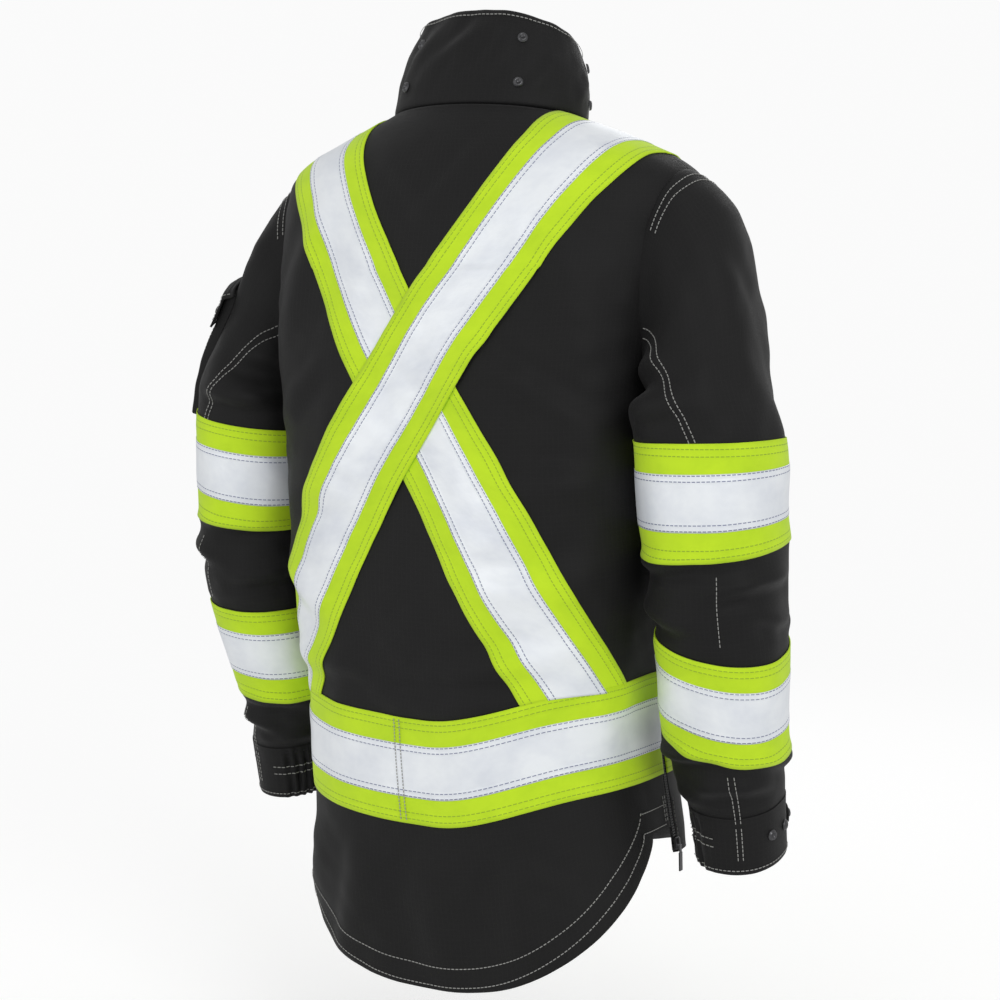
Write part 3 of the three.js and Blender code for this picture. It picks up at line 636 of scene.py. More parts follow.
def sleeve_relief(seed):
    def relief(plain, turn, run):
        total = np.zeros(turn.shape)
        level = plain[..., 2]
        for number, (start, end, width, height) in enumerate(SLEEVE_FOLDS):
            swing = 8 * math.sin(seed * 3.1 + number * 1.7)
            lift = 0.006 * math.sin(seed * 5.3 + number * 2.9)
            first, last = math.radians(start[0] + swing), math.radians(end[0] + swing)
            middle = (first + last) / 2
            near = (turn - middle + math.pi) % (2 * math.pi) - math.pi + middle
            total += crease(near * SLEEVE_RADIUS, level, (first * SLEEVE_RADIUS, start[1] + lift),
                            (last * SLEEVE_RADIUS, end[1] + lift), width,
                            height * (1 + 0.25 * math.sin(seed + number)))
        total += 0.0026 * ripple(plain, 0.15, seed + 40)
        total += 0.0010 * ripple(plain, 0.060, seed + 41, stretch=(1, 1, 1.5))
        total += 0.0003 * ripple(plain, 0.024, seed + 42)
        band = 1 - 0.5 * ease(0.295, 0.310, -level) * (1 - ease(0.395, 0.405, -level))
        band *= 1 - 0.5 * ease(0.480, 0.492, -level) * (1 - ease(0.577, 0.590, -level))
        return 1.25 * total * ease(0.012, 0.06, run) * band * (1 - 0.6 * ease(0.63, 0.65, -level))
    return relief


def sleeve_maker(side, seed):
    relief = sleeve_relief(seed)

    def sleeve(turn, run, lift=0.0):
        turn, run = np.broadcast_arrays(np.asarray(turn, float), np.asarray(run, float))
        points = lifted(sleeve_plain, relief, turn, run, lift + np.zeros(turn.shape))
        points[..., 0] *= side
        return points
    return sleeve


def inside_body(points):
    angle, drop = body_address(points[..., 0], points[..., 1], points[..., 2])
    a, b, f, n, tilt = along_rows(BODY_LEVELS, np.clip(drop, 0, 0.83))
    depth = np.where(points[..., 1] > 0, b, f)
    return (np.abs(points[..., 0]) / a) ** n + (np.abs(points[..., 1]) / depth) ** n < 1


turns = np.linspace(-math.pi, math.pi, 241)
near, far = np.zeros(turns.shape), np.full(turns.shape, reach_down[2])
for _ in range(30):
    mid = (near + far) / 2
    buried = inside_body(sleeve_plain(turns, mid))
    near = np.where(buried, mid, near)
    far = np.where(buried, far, mid)
seam_run = np.convolve(np.concatenate([near[-4:-1], near, near[1:4]]), np.ones(7) / 7, "valid")


def armhole_seam(turn):
    return np.interp((turn + math.pi) % (2 * math.pi) - math.pi, turns, seam_run)


RUN_UPPER = sleeve_run(-0.3752)
RUN_LOWER = sleeve_run(-0.3652)
RUN_CUFF = sleeve_run(-0.6480)
sleeves = {}
for word, side, seed in (("left", 1, 1), ("right", -1, 2)):
    sleeve = sleeve_maker(side, seed)
    sleeves[word] = sleeve

    def head_shape(u, v, lift=0.0):
        turn = -math.pi + 2 * math.pi * u
        start = armhole_seam(turn) - 0.003
        return sleeve(turn, start + (RUN_UPPER - start) * v, lift)

    def lower_shape(u, v, lift=0.0):
        turn = -math.pi + 2 * math.pi * u
        return sleeve(turn, RUN_LOWER + (RUN_CUFF - RUN_LOWER) * v, lift - 0.0002)

    head = cloth(f"{word}_sleeve_head", head_shape, 150, 100, ripstop, lining, 0.0035)
    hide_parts(f"{word}_upper_sleeve")
    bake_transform(head)
    lower = cloth(f"{word}_sleeve_lower", lower_shape, 140, 130, ripstop, lining, 0.0035)
    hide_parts(f"{word}_lower_sleeve")
    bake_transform(lower)


# The lime tape: a matte fluorescent knit 100 mm wide, sewn down by two rows of stitches near each
# edge. Its pattern runs on the piece's own map, in metres along it and across it.
stitched, stitched_in, stitched_out = group(
    "stitch_row",
    [("Along", "NodeSocketFloat", 0.0), ("Across", "NodeSocketFloat", 0.0),
     ("Row", "NodeSocketFloat", 0.005)],
    [("Mask", "NodeSocketFloat"), ("Dip", "NodeSocketFloat")],
)
off_row = sums(stitched, "ABSOLUTE", sums(stitched, "SUBTRACT", stitched_in.outputs["Across"],
                                          stitched_in.outputs["Row"]))
on_row = sums(stitched, "LESS_THAN", off_row, 0.00042)
pace = sums(stitched, "FRACT", sums(stitched, "DIVIDE", stitched_in.outputs["Along"], 0.0042))
mask = sums(stitched, "MULTIPLY", on_row, sums(stitched, "LESS_THAN", pace, 0.72))
beside = sums(stitched, "SUBTRACT", 1.0, sums(stitched, "DIVIDE", off_row, 0.0022))
dip = sums(stitched, "MAXIMUM", beside, 0.0)
stitched.links.new(mask, stitched_out.inputs["Mask"])
stitched.links.new(dip, stitched_out.inputs["Dip"])


def tape_material(name, base, shade, thread, stitch_rows, roughness, metallic, sheen, mottle, crinkle,
                  spec=0.4):
    made = bpy.data.materials.new(name)
    made.use_nodes = True
    tree = made.node_tree
    shader = tree.nodes["Principled BSDF"]
    place = node(tree, "ShaderNodeUVMap").outputs[0]
    axes = node(tree, "ShaderNodeSeparateXYZ", _0=place)
    masks, dips = None, None
    for row in stitch_rows:
        row_node = tree.nodes.new("ShaderNodeGroup")
        row_node.node_tree = stitched
        tree.links.new(axes.outputs[0], row_node.inputs["Along"])
        tree.links.new(axes.outputs[1], row_node.inputs["Across"])
        row_node.inputs["Row"].default_value = row
        mask, dip = row_node.outputs["Mask"], row_node.outputs["Dip"]
        masks = mask if masks is None else sums(tree, "MAXIMUM", masks, mask)
        dips = dip if dips is None else sums(tree, "MAXIMUM", dips, dip)
    wide = node(tree, "ShaderNodeTexNoise", Vector=place, Scale=mottle, Detail=4.0, Roughness=0.6).outputs[0]
    fine = node(tree, "ShaderNodeTexNoise", Vector=place, Scale=1400.0, Detail=1.0).outputs[0]
    first = tree.nodes.new("ShaderNodeMix")
    first.data_type = "RGBA"
    share = sums(tree, "MULTIPLY", sums(tree, "SUBTRACT", wide, 0.42), 3.2)
    clamp = node(tree, "ShaderNodeClamp", Value=share)
    tree.links.new(clamp.outputs[0], first.inputs[0])
    first.inputs[6].default_value = base
    first.inputs[7].default_value = shade
    second = tree.nodes.new("ShaderNodeMix")
    second.data_type = "RGBA"
    tree.links.new(masks, second.inputs[0])
    tree.links.new(first.outputs[2], second.inputs[6])
    second.inputs[7].default_value = thread
    tree.links.new(second.outputs[2], shader.inputs["Base Color"])
    shader.inputs["Roughness"].default_value = roughness
    shader.inputs["Metallic"].default_value = metallic
    shader.inputs["Sheen Weight"].default_value = sheen
    shader.inputs["Specular IOR Level"].default_value = spec
    puckers = node(tree, "ShaderNodeTexNoise", Vector=place, Scale=70.0, Detail=3.0).outputs[0]
    level = sums(tree, "MULTIPLY", dips, -0.6)
    level = sums(tree, "ADD", level, sums(tree, "MULTIPLY", masks, 0.5))
    level = sums(tree, "ADD", level, sums(tree, "MULTIPLY", puckers, crinkle))
    level = sums(tree, "ADD", level, sums(tree, "MULTIPLY", fine, 0.12))
    relief = node(tree, "ShaderNodeBump", Strength=0.6, Distance=0.0008, Height=level)
    tree.links.new(relief.outputs[0], shader.inputs["Normal"])
    return made


lime = tape_material("lime_tape", linear(200, 236, 28), linear(186, 224, 24), linear(150, 185, 40),
                     (0.0045, 0.0105, 0.0895, 0.0955), 0.75, 0.0, 0.1, 22.0, 0.5)
silver = tape_material("silver_tape", linear(246, 250, 254), linear(224, 229, 238), linear(120, 128, 160),
                       (0.0012, 0.0062, 0.0438, 0.0488), 0.40, 0.12, 0.0, 16.0, 0.9, 0.6)

# The crossed back tapes: each runs from the front waist over one shoulder to the other side of the
# back waist, the right one over the left. Rows give how far down, and how far out the middle is.
STRAP_BACK = np.array([[0.150, 0.0720], [0.200, 0.0385], [0.259, 0.000], [0.360, -0.0665], [0.455, -0.119],
                       [0.541, -0.169], [0.600, -0.200]])
STRAP_SHARE = np.array([[0.000, 0.49], [0.055, 0.50], [0.100, 0.53], [0.145, 0.56], [0.259, 0.58],
                        [0.360, 0.57], [0.455, 0.56], [0.541, 0.56], [0.606, 0.56]])
STRAP_TURN = np.array([[-90, 0.098], [-60, 0.112], [-35, 0.131], [-10, 0.142], [10, 0.143], [35, 0.137],
                       [60, 0.110], [90, 0.0715]])
LIME_LIFT, SILVER_LIFT = 0.0015, 0.0021
LIME_WIDTH, SILVER_WIDTH = 0.100, 0.050
BAND_TOP = 0.576


def band_rise(x):
    """How much the waist tape curves up towards the sides, more on the right."""
    return 0.007 + 0.013 * np.minimum((x / 0.180) ** 2, 1) + 0.026 * ease(0.02, 0.175, -x)


ROUND_DROPS = np.linspace(0.15, 0.61, 24)
ROUND_ANGLES = np.linspace(0, math.pi, 241)
ROUND_REACH = []
for level in ROUND_DROPS:
    ring_line = body_plain(ROUND_ANGLES, np.full(241, level))
    walked = np.concatenate([[0], np.cumsum(np.linalg.norm(np.diff(ring_line, axis=0), axis=1))])
    ROUND_REACH.append(walked[120] - walked)


def angle_round(reach, drop):
    """The angle at which a tape measure laid round the back from its middle reads reach."""
    place = np.clip((drop - ROUND_DROPS[0]) / (ROUND_DROPS[1] - ROUND_DROPS[0]), 0, 22.999)
    low = place.astype(int)
    found = np.zeros(np.shape(reach))
    for level in range(23):
        here = low == level
        if here.any():
            a = np.interp(-reach[here], -ROUND_REACH[level], ROUND_ANGLES)
            b = np.interp(-reach[here], -ROUND_REACH[level + 1], ROUND_ANGLES)
            found[here] = a + (b - a) * (place[here] - level)
    return found


def strap_lift(side, z, base):
    """How high a back tape lies: the right one rides over the left one where they cross."""
    over = ease(-0.40, -0.31, z) * (1 - ease(-0.20, -0.12, z))
    return base + (0.0024 * over if side < 0 else 0)


def strap_back(side, width, base):
    def shape(u, v, lift=0.0):
        over = np.clip(u / 0.30, 0, 1)
        turn = np.radians(-4 + 94 * over)
        end_reach = STRAP_BACK[-1, 1] + 0.006 + (v - 0.5) * 2 * 0.56 * width
        end_x = body_plain(angle_round(end_reach, np.full(v.shape, 0.56)), np.full(v.shape, 0.56))[..., 0]
        stop = BAND_TOP + 0.006 - band_rise(end_x * side)
        down = 0.150 + np.clip((u - 0.30) / 0.70, 0, 1) * (stop - 0.150)
        upright = u < 0.30
        share = along_rows(STRAP_SHARE, np.where(upright, 0.150 * over ** 2, down))[0]
        offset = (v - 0.5) * 2 * share * width
        angle, drop = body_where(along_rows(STRAP_TURN, np.degrees(turn))[0] + offset,
                                 np.full(u.shape, -0.150), turn)
        level = angle_round(along_rows(STRAP_BACK, down)[0] + offset, down)
        angle = np.where(upright, angle, level)
        drop = np.where(upright, drop, down)
        height = np.where(upright, -0.10, -down)
        return body(on_side(side, angle), drop, lift + strap_lift(side, height, base))
    return shape


def strap_front(side, width, base):
    def shape(u, v, lift=0.0):
        x = 0.098 + (v - 0.5) * width
        low = body_plain(angle_at(x, np.full(x.shape, PANEL_TOP)), np.full(x.shape, PANEL_TOP))
        last = np.arctan2(-low[..., 1], low[..., 2] + 0.150)
        turn = -u * last
        middle = along_rows(STRAP_TURN, np.degrees(turn))[0]
        middle = middle + (0.098 - along_rows(STRAP_TURN, np.degrees(-last))[0]) * u
        angle, drop = body_where(middle + (v - 0.5) * width, np.full(x.shape, -0.150), turn)
        return body(on_side(side, angle), drop, lift + base)
    return shape


def strap_panel(side, width, base):
    def shape(u, v, lift=0.0):
        x = 0.098 + (v - 0.5) * width
        drop = PANEL_TOP + 0.0012 + u * (BAND_TOP + 0.004 - band_rise(x * side) - PANEL_TOP)
        angle = angle_at(x, drop)
        return body(on_side(side, angle), drop, lift + base)
    return shape


def waist_back(width, base):
    def shape(u, v, lift=0.0):
        edge = 0.030 - vent_turn(0.62)
        angle = edge + (math.pi - 2 * edge) * u
        x = body_plain(angle, np.full(np.shape(angle), 0.62))[..., 0]
        drop = BAND_TOP + LIME_WIDTH / 2 + (v - 0.5) * width - band_rise(x)
        return body(angle, drop, lift + base)
    return shape


def waist_side(side, width, base):
    def shape(u, v, lift=0.0):
        drop = BAND_TOP + LIME_WIDTH / 2 + (v - 0.5) * width
        edge = -0.030 - vent_turn(0.62)
        angle = edge + u * (angle_at(HINGE_X, drop) - edge)
        x = body_plain(angle, drop)[..., 0] * side
        return body(on_side(side, angle), drop - band_rise(x), lift + base)
    return shape


def waist_front(side, width, base):
    def shape(u, v, lift=0.0):
        x = 0.0060 + u * (HINGE_X - 0.0008 - 0.0060)
        drop = BAND_TOP + LIME_WIDTH / 2 + (v - 0.5) * width - band_rise(x * side)
        angle = angle_at(x, drop)
        return body(on_side(side, angle), drop, lift + base)
    return shape


TAPES = (("lime", lime, LIME_WIDTH, LIME_LIFT, 0.0011),
         ("silver", silver, SILVER_WIDTH, SILVER_LIFT, 0.0005))
for kind, finish, width, base, thick in TAPES:
    def tape(name, shape, across, length, body_name, *nodes):
        made = cloth(name, shape, across, 24, finish, None, thick, size=(length, width))
        if nodes:
            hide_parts(*nodes)
        if body_name:
            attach(made, body_name)
        return made

    tape(f"waist_back_{kind}_tape", waist_back(width, base), 200, 0.52, "torso", f"waist_back_{kind}")
    for word, side in (("left", 1), ("right", -1)):
        tape(f"{word}_back_{kind}_tape", strap_back(side, width, base), 220, 0.72, "torso",
             f"{word}_shoulder_{kind}")
        over = tape(f"{word}_yoke_{kind}_tape", strap_front(side, width, base), 60, 0.15, None)
        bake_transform(over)
        tape(f"{word}_chest_{kind}_tape", strap_panel(side, width, base), 150, 0.42, f"{word}_front",
             f"{word}_front_tape_{kind}")
        tape(f"{word}_waist_front_{kind}_tape", waist_front(side, width, base), 50, 0.15, f"{word}_front",
             f"{word}_front_waist_{kind}")
        tape(f"{word}_waist_side_{kind}_tape", waist_side(side, width, base), 40, 0.13, "torso",
             f"{word}_side_{kind}")

# The sleeve tapes: two lime bands with silver middles, sewn right round each sleeve above and below
# the elbow, each a little out of level as the sleeve hangs.
for kind, finish, width, base, thick in TAPES:
    inset = (LIME_WIDTH - width) / 2
    for word, side in (("left", 1), ("right", -1)):
        sleeve = sleeves[word]
        for place, arm, top, lean in (("upper", "upper_arm", 0.304, -0.010 if side > 0 else -0.001),
                                      ("lower", "forearm", 0.486, -0.004 if side > 0 else 0.014)):
            first, last = sleeve_run(-top), sleeve_run(-top - 0.096)

            def ring(u, v, lift=0.0):
                edge = inset / LIME_WIDTH
                turn = -math.pi + 2 * math.pi * u
                run = first + (last - first) * (edge + (1 - 2 * edge) * v) + lean * np.cos(turn)
                return sleeve(turn, run, lift + base)

            made = cloth(f"{word}_{place}_{kind}_band", ring, 130, 24, finish, None, thick,
                         size=(0.40 if place == "upper" else 0.35, width))
            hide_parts(f"{word}_{place}_band_{kind}")
            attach(made, f"{word}_{arm}")


# The cuffs: the end of each sleeve is turned under, stitched round, and drawn in on its inner half by
# elastic, which gathers the shell cloth into small upright pleats.
def cuff_outside(sleeve):
    def at(turn, run, lift):
        inner = ease(1.35, 1.9, math.pi - np.abs((turn - 0.35) % (2 * math.pi) - math.pi))
        fade = ease(RUN_CUFF - 0.01, RUN_CUFF + 0.012, run)
        wave = np.sin(turn * 27 + 1.4 * np.sin(turn * 5)) * (0.7 + 0.3 * np.sin(turn * 11 + run * 160))
        pinch = 1 - 0.6 * np.exp(-((run - RUN_CUFF - 0.020) / 0.004) ** 2)
        return sleeve(turn, run, lift + 0.0022 * wave * inner * fade * pinch - 0.0022 * inner * fade)
    return at


RUN_END = reach_down[-1]
CUFF_THICK = 0.0040
for word, side in (("left", 1), ("right", -1)):
    outside = cuff_outside(sleeves[word])

    def cuff_shape(u, v, lift=0.0):
        turn = -math.pi + 2 * math.pi * u
        start = RUN_CUFF - 0.004
        out = np.clip(v / 0.55, 0, 1)
        fold = np.clip((v - 0.55) / 0.10, 0, 1) * math.pi
        back_up = np.clip((v - 0.65) / 0.35, 0, 1)
        run = start + (RUN_END - start) * out
        run = np.where(v > 0.65, RUN_END - (RUN_END - start) * 0.95 * back_up, run) - 0.002
        run = run + 0.002 * np.sin(fold)
        sink = CUFF_THICK * (1 - np.cos(fold)) / 2
        return outside(turn, run, np.where(v < 0.6, lift, -lift) - sink + 0.0006)

    cuff = cloth(f"{word}_cuff_cloth", cuff_shape, 260, 44, ripstop)
    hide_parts(f"{word}_cuff")
    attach(cuff, f"{word}_forearm")


# Patches of doubled ripstop sewn onto the coat: the sleeve pocket and its flap, the cuff tabs, the
# welts of the hand pockets, and the storm flap that covers the front zip.
def domed(u, v, height, edge_u, edge_v):
    """A patch's height: full inside, and rounding down to its edges."""
    a = np.clip(np.minimum(np.minimum(u, 1 - u) / edge_u, np.minimum(v, 1 - v) / edge_v), 0, 1)
    return height * np.sqrt(1 - (1 - a) ** 2)


def sleeve_turn(run, y):
    """The turn at which a sleeve's outer half is at y."""
    cx, cz, ax, az, mid_y, depth, tilt = along_rows(SLEEVE_LEVELS, run)
    s = np.clip(np.abs(y - mid_y) / (depth * np.cos(tilt)), 0, 0.999) ** SLEEVE_SQUARE
    return np.sign(y - mid_y) * np.arctan2(s ** (1 / SLEEVE_SQUARE), (1 - s) ** (1 / SLEEVE_SQUARE))


outer_heights = rows[:, 3]
POCKET_RUN = np.interp([0.158, 0.300, 0.1555, 0.2045], outer_heights, reach_down)
left_sleeve = sleeves["left"]


def pocket_shape(u, v, lift=0.0):
    run = POCKET_RUN[0] + (POCKET_RUN[1] - POCKET_RUN[0]) * v
    y = -0.038 + 0.108 * u
    return left_sleeve(sleeve_turn(run, y), run, lift + 0.0004 + domed(u, v, 0.0095, 0.025, 0.02)
                       + 0.0015 * np.sin(math.pi * u) * np.sin(math.pi * v))


def pocket_flap_shape(u, v, lift=0.0):
    run = POCKET_RUN[2] + (POCKET_RUN[3] - POCKET_RUN[2]) * v
    y = -0.040 + 0.112 * u
    return left_sleeve(sleeve_turn(run, y), run, lift + 0.0045 + 0.0092 * ease(0.0, 0.2, v))


pocket = cloth("sleeve_pocket_cloth", pocket_shape, 90, 110, ripstop)
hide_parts("sleeve_pocket")
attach(pocket, "left_upper_arm")
pocket_flap = cloth("sleeve_pocket_flap_cloth", pocket_flap_shape, 70, 34, ripstop, None, 0.0022)
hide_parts("sleeve_pocket_flap")
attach(pocket_flap, "sleeve_pocket_flap")

TAB_RUN = sleeve_run(-0.668)
for word, side in (("left", 1), ("right", -1)):
    sleeve = sleeves[word]

    def tab_shape(u, v, lift=0.0):
        turn = math.radians(-90) + math.radians(56) * u
        half = 0.009 * np.minimum(1, np.sqrt(np.clip(1 - ((u - 0.80) / 0.20).clip(0, 1) ** 2, 0.02, 1)))
        return sleeve(turn, TAB_RUN + (v - 0.5) * 2 * half, lift + 0.0034)

    tab = cloth(f"{word}_cuff_tab_cloth", tab_shape, 50, 18, ripstop, None, 0.0022)
    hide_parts(f"{word}_cuff_tab")
    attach(tab, f"{word}_cuff_tab")

    def welt_shape(u, v, lift=0.0):
        drop = 0.395 + 0.150 * v
        near = angle_at(0.1545, drop)
        angle = near + u * 0.105
        return body(on_side(side, angle), drop, lift + 0.0028)

    welt = cloth(f"{word}_pocket_welt_cloth", welt_shape, 16, 60, ripstop, None, 0.0024)
    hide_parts(f"{word}_pocket_welt")
    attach(welt, "torso")


def flap_shape(u, v, lift=0.0):
    drop = 0.133 + (0.724 - 0.133) * v
    x = 0.026 - 0.064 * u
    angle = angle_at(x, drop)
    return body(angle, drop, lift + 0.0058 + 0.0006 * np.sin(drop * 42))


storm_flap = cloth("storm_flap_cloth", flap_shape, 26, 190, ripstop, None, 0.0024)
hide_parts("storm_flap")
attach(storm_flap, "storm_flap")


# The zips: moulded black plastic teeth on a woven tape, sewn to the front edges, up the throat and
# collar, and into the side vents. Their sliders and pulls are metal with a dark finish.
def plain_material(name, colour, roughness, metallic, wear):
    made = bpy.data.materials.new(name)
    made.use_nodes = True
    tree = made.node_tree
    shader = tree.nodes["Principled BSDF"]
    place = node(tree, "ShaderNodeTexCoord").outputs["Object"]
    spots = node(tree, "ShaderNodeTexNoise", Vector=place, Scale=260.0, Detail=4.0).outputs[0]
    mixed = tree.nodes.new("ShaderNodeMix")
    mixed.data_type = "RGBA"
    tree.links.new(spots, mixed.inputs[0])
    mixed.inputs[6].default_value = colour
    mixed.inputs[7].default_value = wear
    tree.links.new(mixed.outputs[2], shader.inputs["Base Color"])
    rough = sums(tree, "ADD", sums(tree, "MULTIPLY", spots, 0.2), roughness - 0.1)
    tree.links.new(rough, shader.inputs["Roughness"])
    shader.inputs["Metallic"].default_value = metallic
    relief = node(tree, "ShaderNodeBump", Strength=0.15, Distance=0.0003, Height=spots)
    tree.links.new(relief.outputs[0], shader.inputs["Normal"])
    return made


zip_plastic = plain_material("zip_plastic", linear(20, 20, 21), 0.42, 0.0, linear(40, 40, 41))
dark_metal = plain_material("dark_metal", linear(58, 58, 60), 0.32, 0.85, linear(104, 104, 106))
thread = plain_material("grey_thread", linear(176, 176, 172), 0.8, 0.0, linear(128, 128, 126))


def finished(name, bm, material):
    """An object made from a bmesh, with its faces turned consistently."""
    bmesh.ops.recalc_face_normals(bm, faces=bm.faces)
    mesh = bpy.data.meshes.new(name)
    bm.to_mesh(mesh)
    bm.free()
    mesh.materials.append(material)
    made = bpy.data.objects.new(name, mesh)
    bpy.context.scene.collection.objects.link(made)
    return made


def frame_at(point, along, out):
    """The matrix of a place whose x runs along and whose z points out."""
    x = Vector(along).normalized()
    z = (Vector(out) - x * Vector(out).dot(x)).normalized()
    y = z.cross(x)
    return Matrix(((x.x, y.x, z.x, point[0]), (x.y, y.y, z.y, point[1]), (x.z, y.z, z.z, point[2]),
                   (0, 0, 0, 1)))


def brick(bm, place, size):
    bmesh.ops.create_cube(bm, size=1.0, matrix=place @ Matrix.Diagonal((*size, 1)))


def teeth(name, path, out_path, pitch, size, *nodes):
    """A row of zip teeth along path(t), with out_path(t) a little outside it."""
    bm = bmesh.new()
    t = np.linspace(0, 1, 400)
    line = path(t)
    length = np.concatenate([[0], np.cumsum(np.linalg.norm(np.diff(line, axis=0), axis=1))])
    count = int(length[-1] / pitch)
    at = np.interp((np.arange(count) + 0.5) * pitch, length, t)
    here, ahead, above = path(at), path(np.minimum(at + 1e-3, 1)), out_path(at)
    behind = path(np.maximum(at - 1e-3, 0))
    for p, q, r, o in zip(here, ahead, behind, above):
        brick(bm, frame_at(p, q - r, o - p), size)
    for p, q, o in zip(line[:-1:4], line[4::4], out_path(t)[:-1:4]):
        middle = (p + q) / 2
        length_here = np.linalg.norm(q - p) * 1.02
        brick(bm, frame_at(middle - (o - p) * 1.2, q - p, o - p), (length_here, size[1] * 1.25, 0.0006))
    made = finished(name, bm, zip_plastic)
    if nodes:
        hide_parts(*nodes)
    return made


for word, side in (("left", 1), ("right", -1)):
    def chain(t, lift=0.0002):
        drop = PANEL_TOP + 0.003 + t * (FRONT_HEM - PANEL_TOP - 0.008)
        angle = angle_at(np.full(t.shape, 0.0023), drop)
        return body(on_side(side, angle), drop, lift)

    row = teeth(f"{word}_zip_teeth", chain, lambda t: chain(t, 0.0012), 0.0030, (0.0018, 0.0034, 0.0016),
                f"{word}_zip_chain")
    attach(row, f"{word}_front")

    def vent(t, lift=-0.0006):
        drop = 0.5525 + t * (0.7030 - 0.5525)
        angle = -vent_turn(drop)
        return body(on_side(side, angle), drop, lift)

    row = teeth(f"{word}_vent_teeth", vent, lambda t: vent(t, 0.0004), 0.0025, (0.0015, 0.0058, 0.0016),
                f"{word}_vent_zip")
    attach(row, "torso")

    # The vent's slider: a waisted body over the teeth with a bridge and a flat pull hanging from it
    top = vent(np.array([0.955]), 0.0022)[0]
    low = vent(np.array([0.99]), 0.0022)[0]
    out = vent(np.array([0.955]), 0.0042)[0] - top
    bm = bmesh.new()
    place = frame_at(top, low - top, out)
    brick(bm, place, (0.011, 0.0085, 0.0026))
    brick(bm, place @ Matrix.Translation((-0.002, 0, 0.0022)), (0.0060, 0.0026, 0.0022))
    pull = place @ Matrix.Translation((0.004, 0, 0.0030)) @ Matrix.Rotation(math.radians(7), 4, "Y")
    brick(bm, pull @ Matrix.Translation((0.002, 0, 0)), (0.008, 0.0050, 0.0010))
    brick(bm, pull @ Matrix.Translation((0.014, 0, 0)), (0.018, 0.0064, 0.0016))
    bmesh.ops.bevel(bm, geom=bm.edges[:], offset=0.0004, affect="EDGES", segments=2, profile=0.5,
                    material=-1)
    slider = finished(f"{word}_vent_slider_body", bm, dark_metal)
    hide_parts(f"{word}_vent_slider")
    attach(slider, f"{word}_vent_slider")

for name in ("main_slider", "main_pull"):
    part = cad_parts[name]
    part.data.materials.clear()
    part.data.materials.append(dark_metal)


def throat(t, lift=0.0004):
    drop = 0.004 + t * 0.124
    return body(np.full(t.shape, -math.pi / 2), drop, lift)


row = teeth("yoke_zip_teeth", throat, lambda t: throat(t, 0.0014), 0.0030, (0.0018, 0.0066, 0.0016))
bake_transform(row)


def neck_zip(t, lift=-0.0022):
    return collar_outside(np.full(t.shape, -math.pi / 2), 0.02 + t * 0.94, lift)


row = teeth("collar_zip_teeth", neck_zip, lambda t: neck_zip(t, -0.0012), 0.0030, (0.0018, 0.0072, 0.0018))
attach(row, "torso")

# The hanger loop: a short strip of folded lining cloth, tacked at both ends inside the back of the
# neck so that the coat hangs from a hook.
def loop_shape(u, v, lift=0.0):
    angle = math.pi / 2 - 0.30 + 0.60 * u
    bulge = 0.004 * np.sin(math.pi * u)
    return body(angle, 0.0135 + 0.008 * v, -0.0078 - bulge - lift)


loop = cloth("hanger_loop_strip", loop_shape, 40, 8, lining, None, 0.0012)
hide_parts("hanger_loop")
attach(loop, "torso")


# Snaps: metal rings with a dark finish and a sunk middle, set through the cloth. They sit in pairs
# round the collar for a hood, and on the cuffs, the storm flap and the pocket flap.
def snap(bm, point, out, radius=0.0052):
    side_way = Vector(out).orthogonal()
    place = frame_at(Vector(point), side_way, out)
    profile = [(0.0, 0.0006), (0.30, 0.0007), (0.42, 0.0020), (0.62, 0.0024), (0.80, 0.0020), (1.0, 0.0002)]
    points = [bm.verts.new(place @ Vector((r * radius, 0, h))) for r, h in profile]
    edges = [bm.edges.new(pair) for pair in zip(points[:-1], points[1:])]
    axis = (place.to_3x3() @ Vector((0, 0, 1)))
    bmesh.ops.spin(bm, geom=points + edges, cent=place.translation, axis=axis, angle=2 * math.pi, steps=20,
                   use_merge=True)
    bmesh.ops.remove_doubles(bm, verts=bm.verts, dist=1e-6)


def snaps(name, surface, places, body_name, radius=0.0052):
    bm = bmesh.new()
    for a, b in places:
        one, two = np.array([float(a)]), np.array([float(b)])
        point, above = surface(one, two, 0.0)[0], surface(one, two, 0.001)[0]
        snap(bm, point, above - point, radius)
    made = finished(name, bm, dark_metal)
    for face in made.data.polygons:
        face.use_smooth = True
    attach(made, body_name)
    return made


COLLAR_SNAPS = [(math.radians(90 + turn), rise) for turn in (-110, -36, 40, 110) for rise in (0.25, 0.74)]
snaps("collar_snaps", lambda a, r, h: collar_outside(a, r, h + 0.0012), COLLAR_SNAPS, "torso")
snaps("pocket_flap_snaps", pocket_flap_shape, [(0.16, 0.75), (0.84, 0.75)], "sleeve_pocket_flap")
snaps("storm_flap_snaps", flap_shape, [(0.75, 0.06), (0.75, 0.28), (0.75, 0.5), (0.75, 0.72), (0.75, 0.94)],
      "storm_flap")
for word, side in (("left", 1), ("right", -1)):
    outside = cuff_outside(sleeves[word])
    snaps(f"{word}_cuff_snaps", lambda a, r, h: outside(a, r, h + 0.0012),
          [(math.radians(20), TAB_RUN - 0.001), (math.radians(-12), TAB_RUN)], f"{word}_forearm")
    sleeve = sleeves[word]
    snaps(f"{word}_tab_snap", lambda a, r, h: sleeve(a, r, h + 0.0036),
          [(math.radians(-44), TAB_RUN)], f"{word}_cuff_tab", 0.0048)


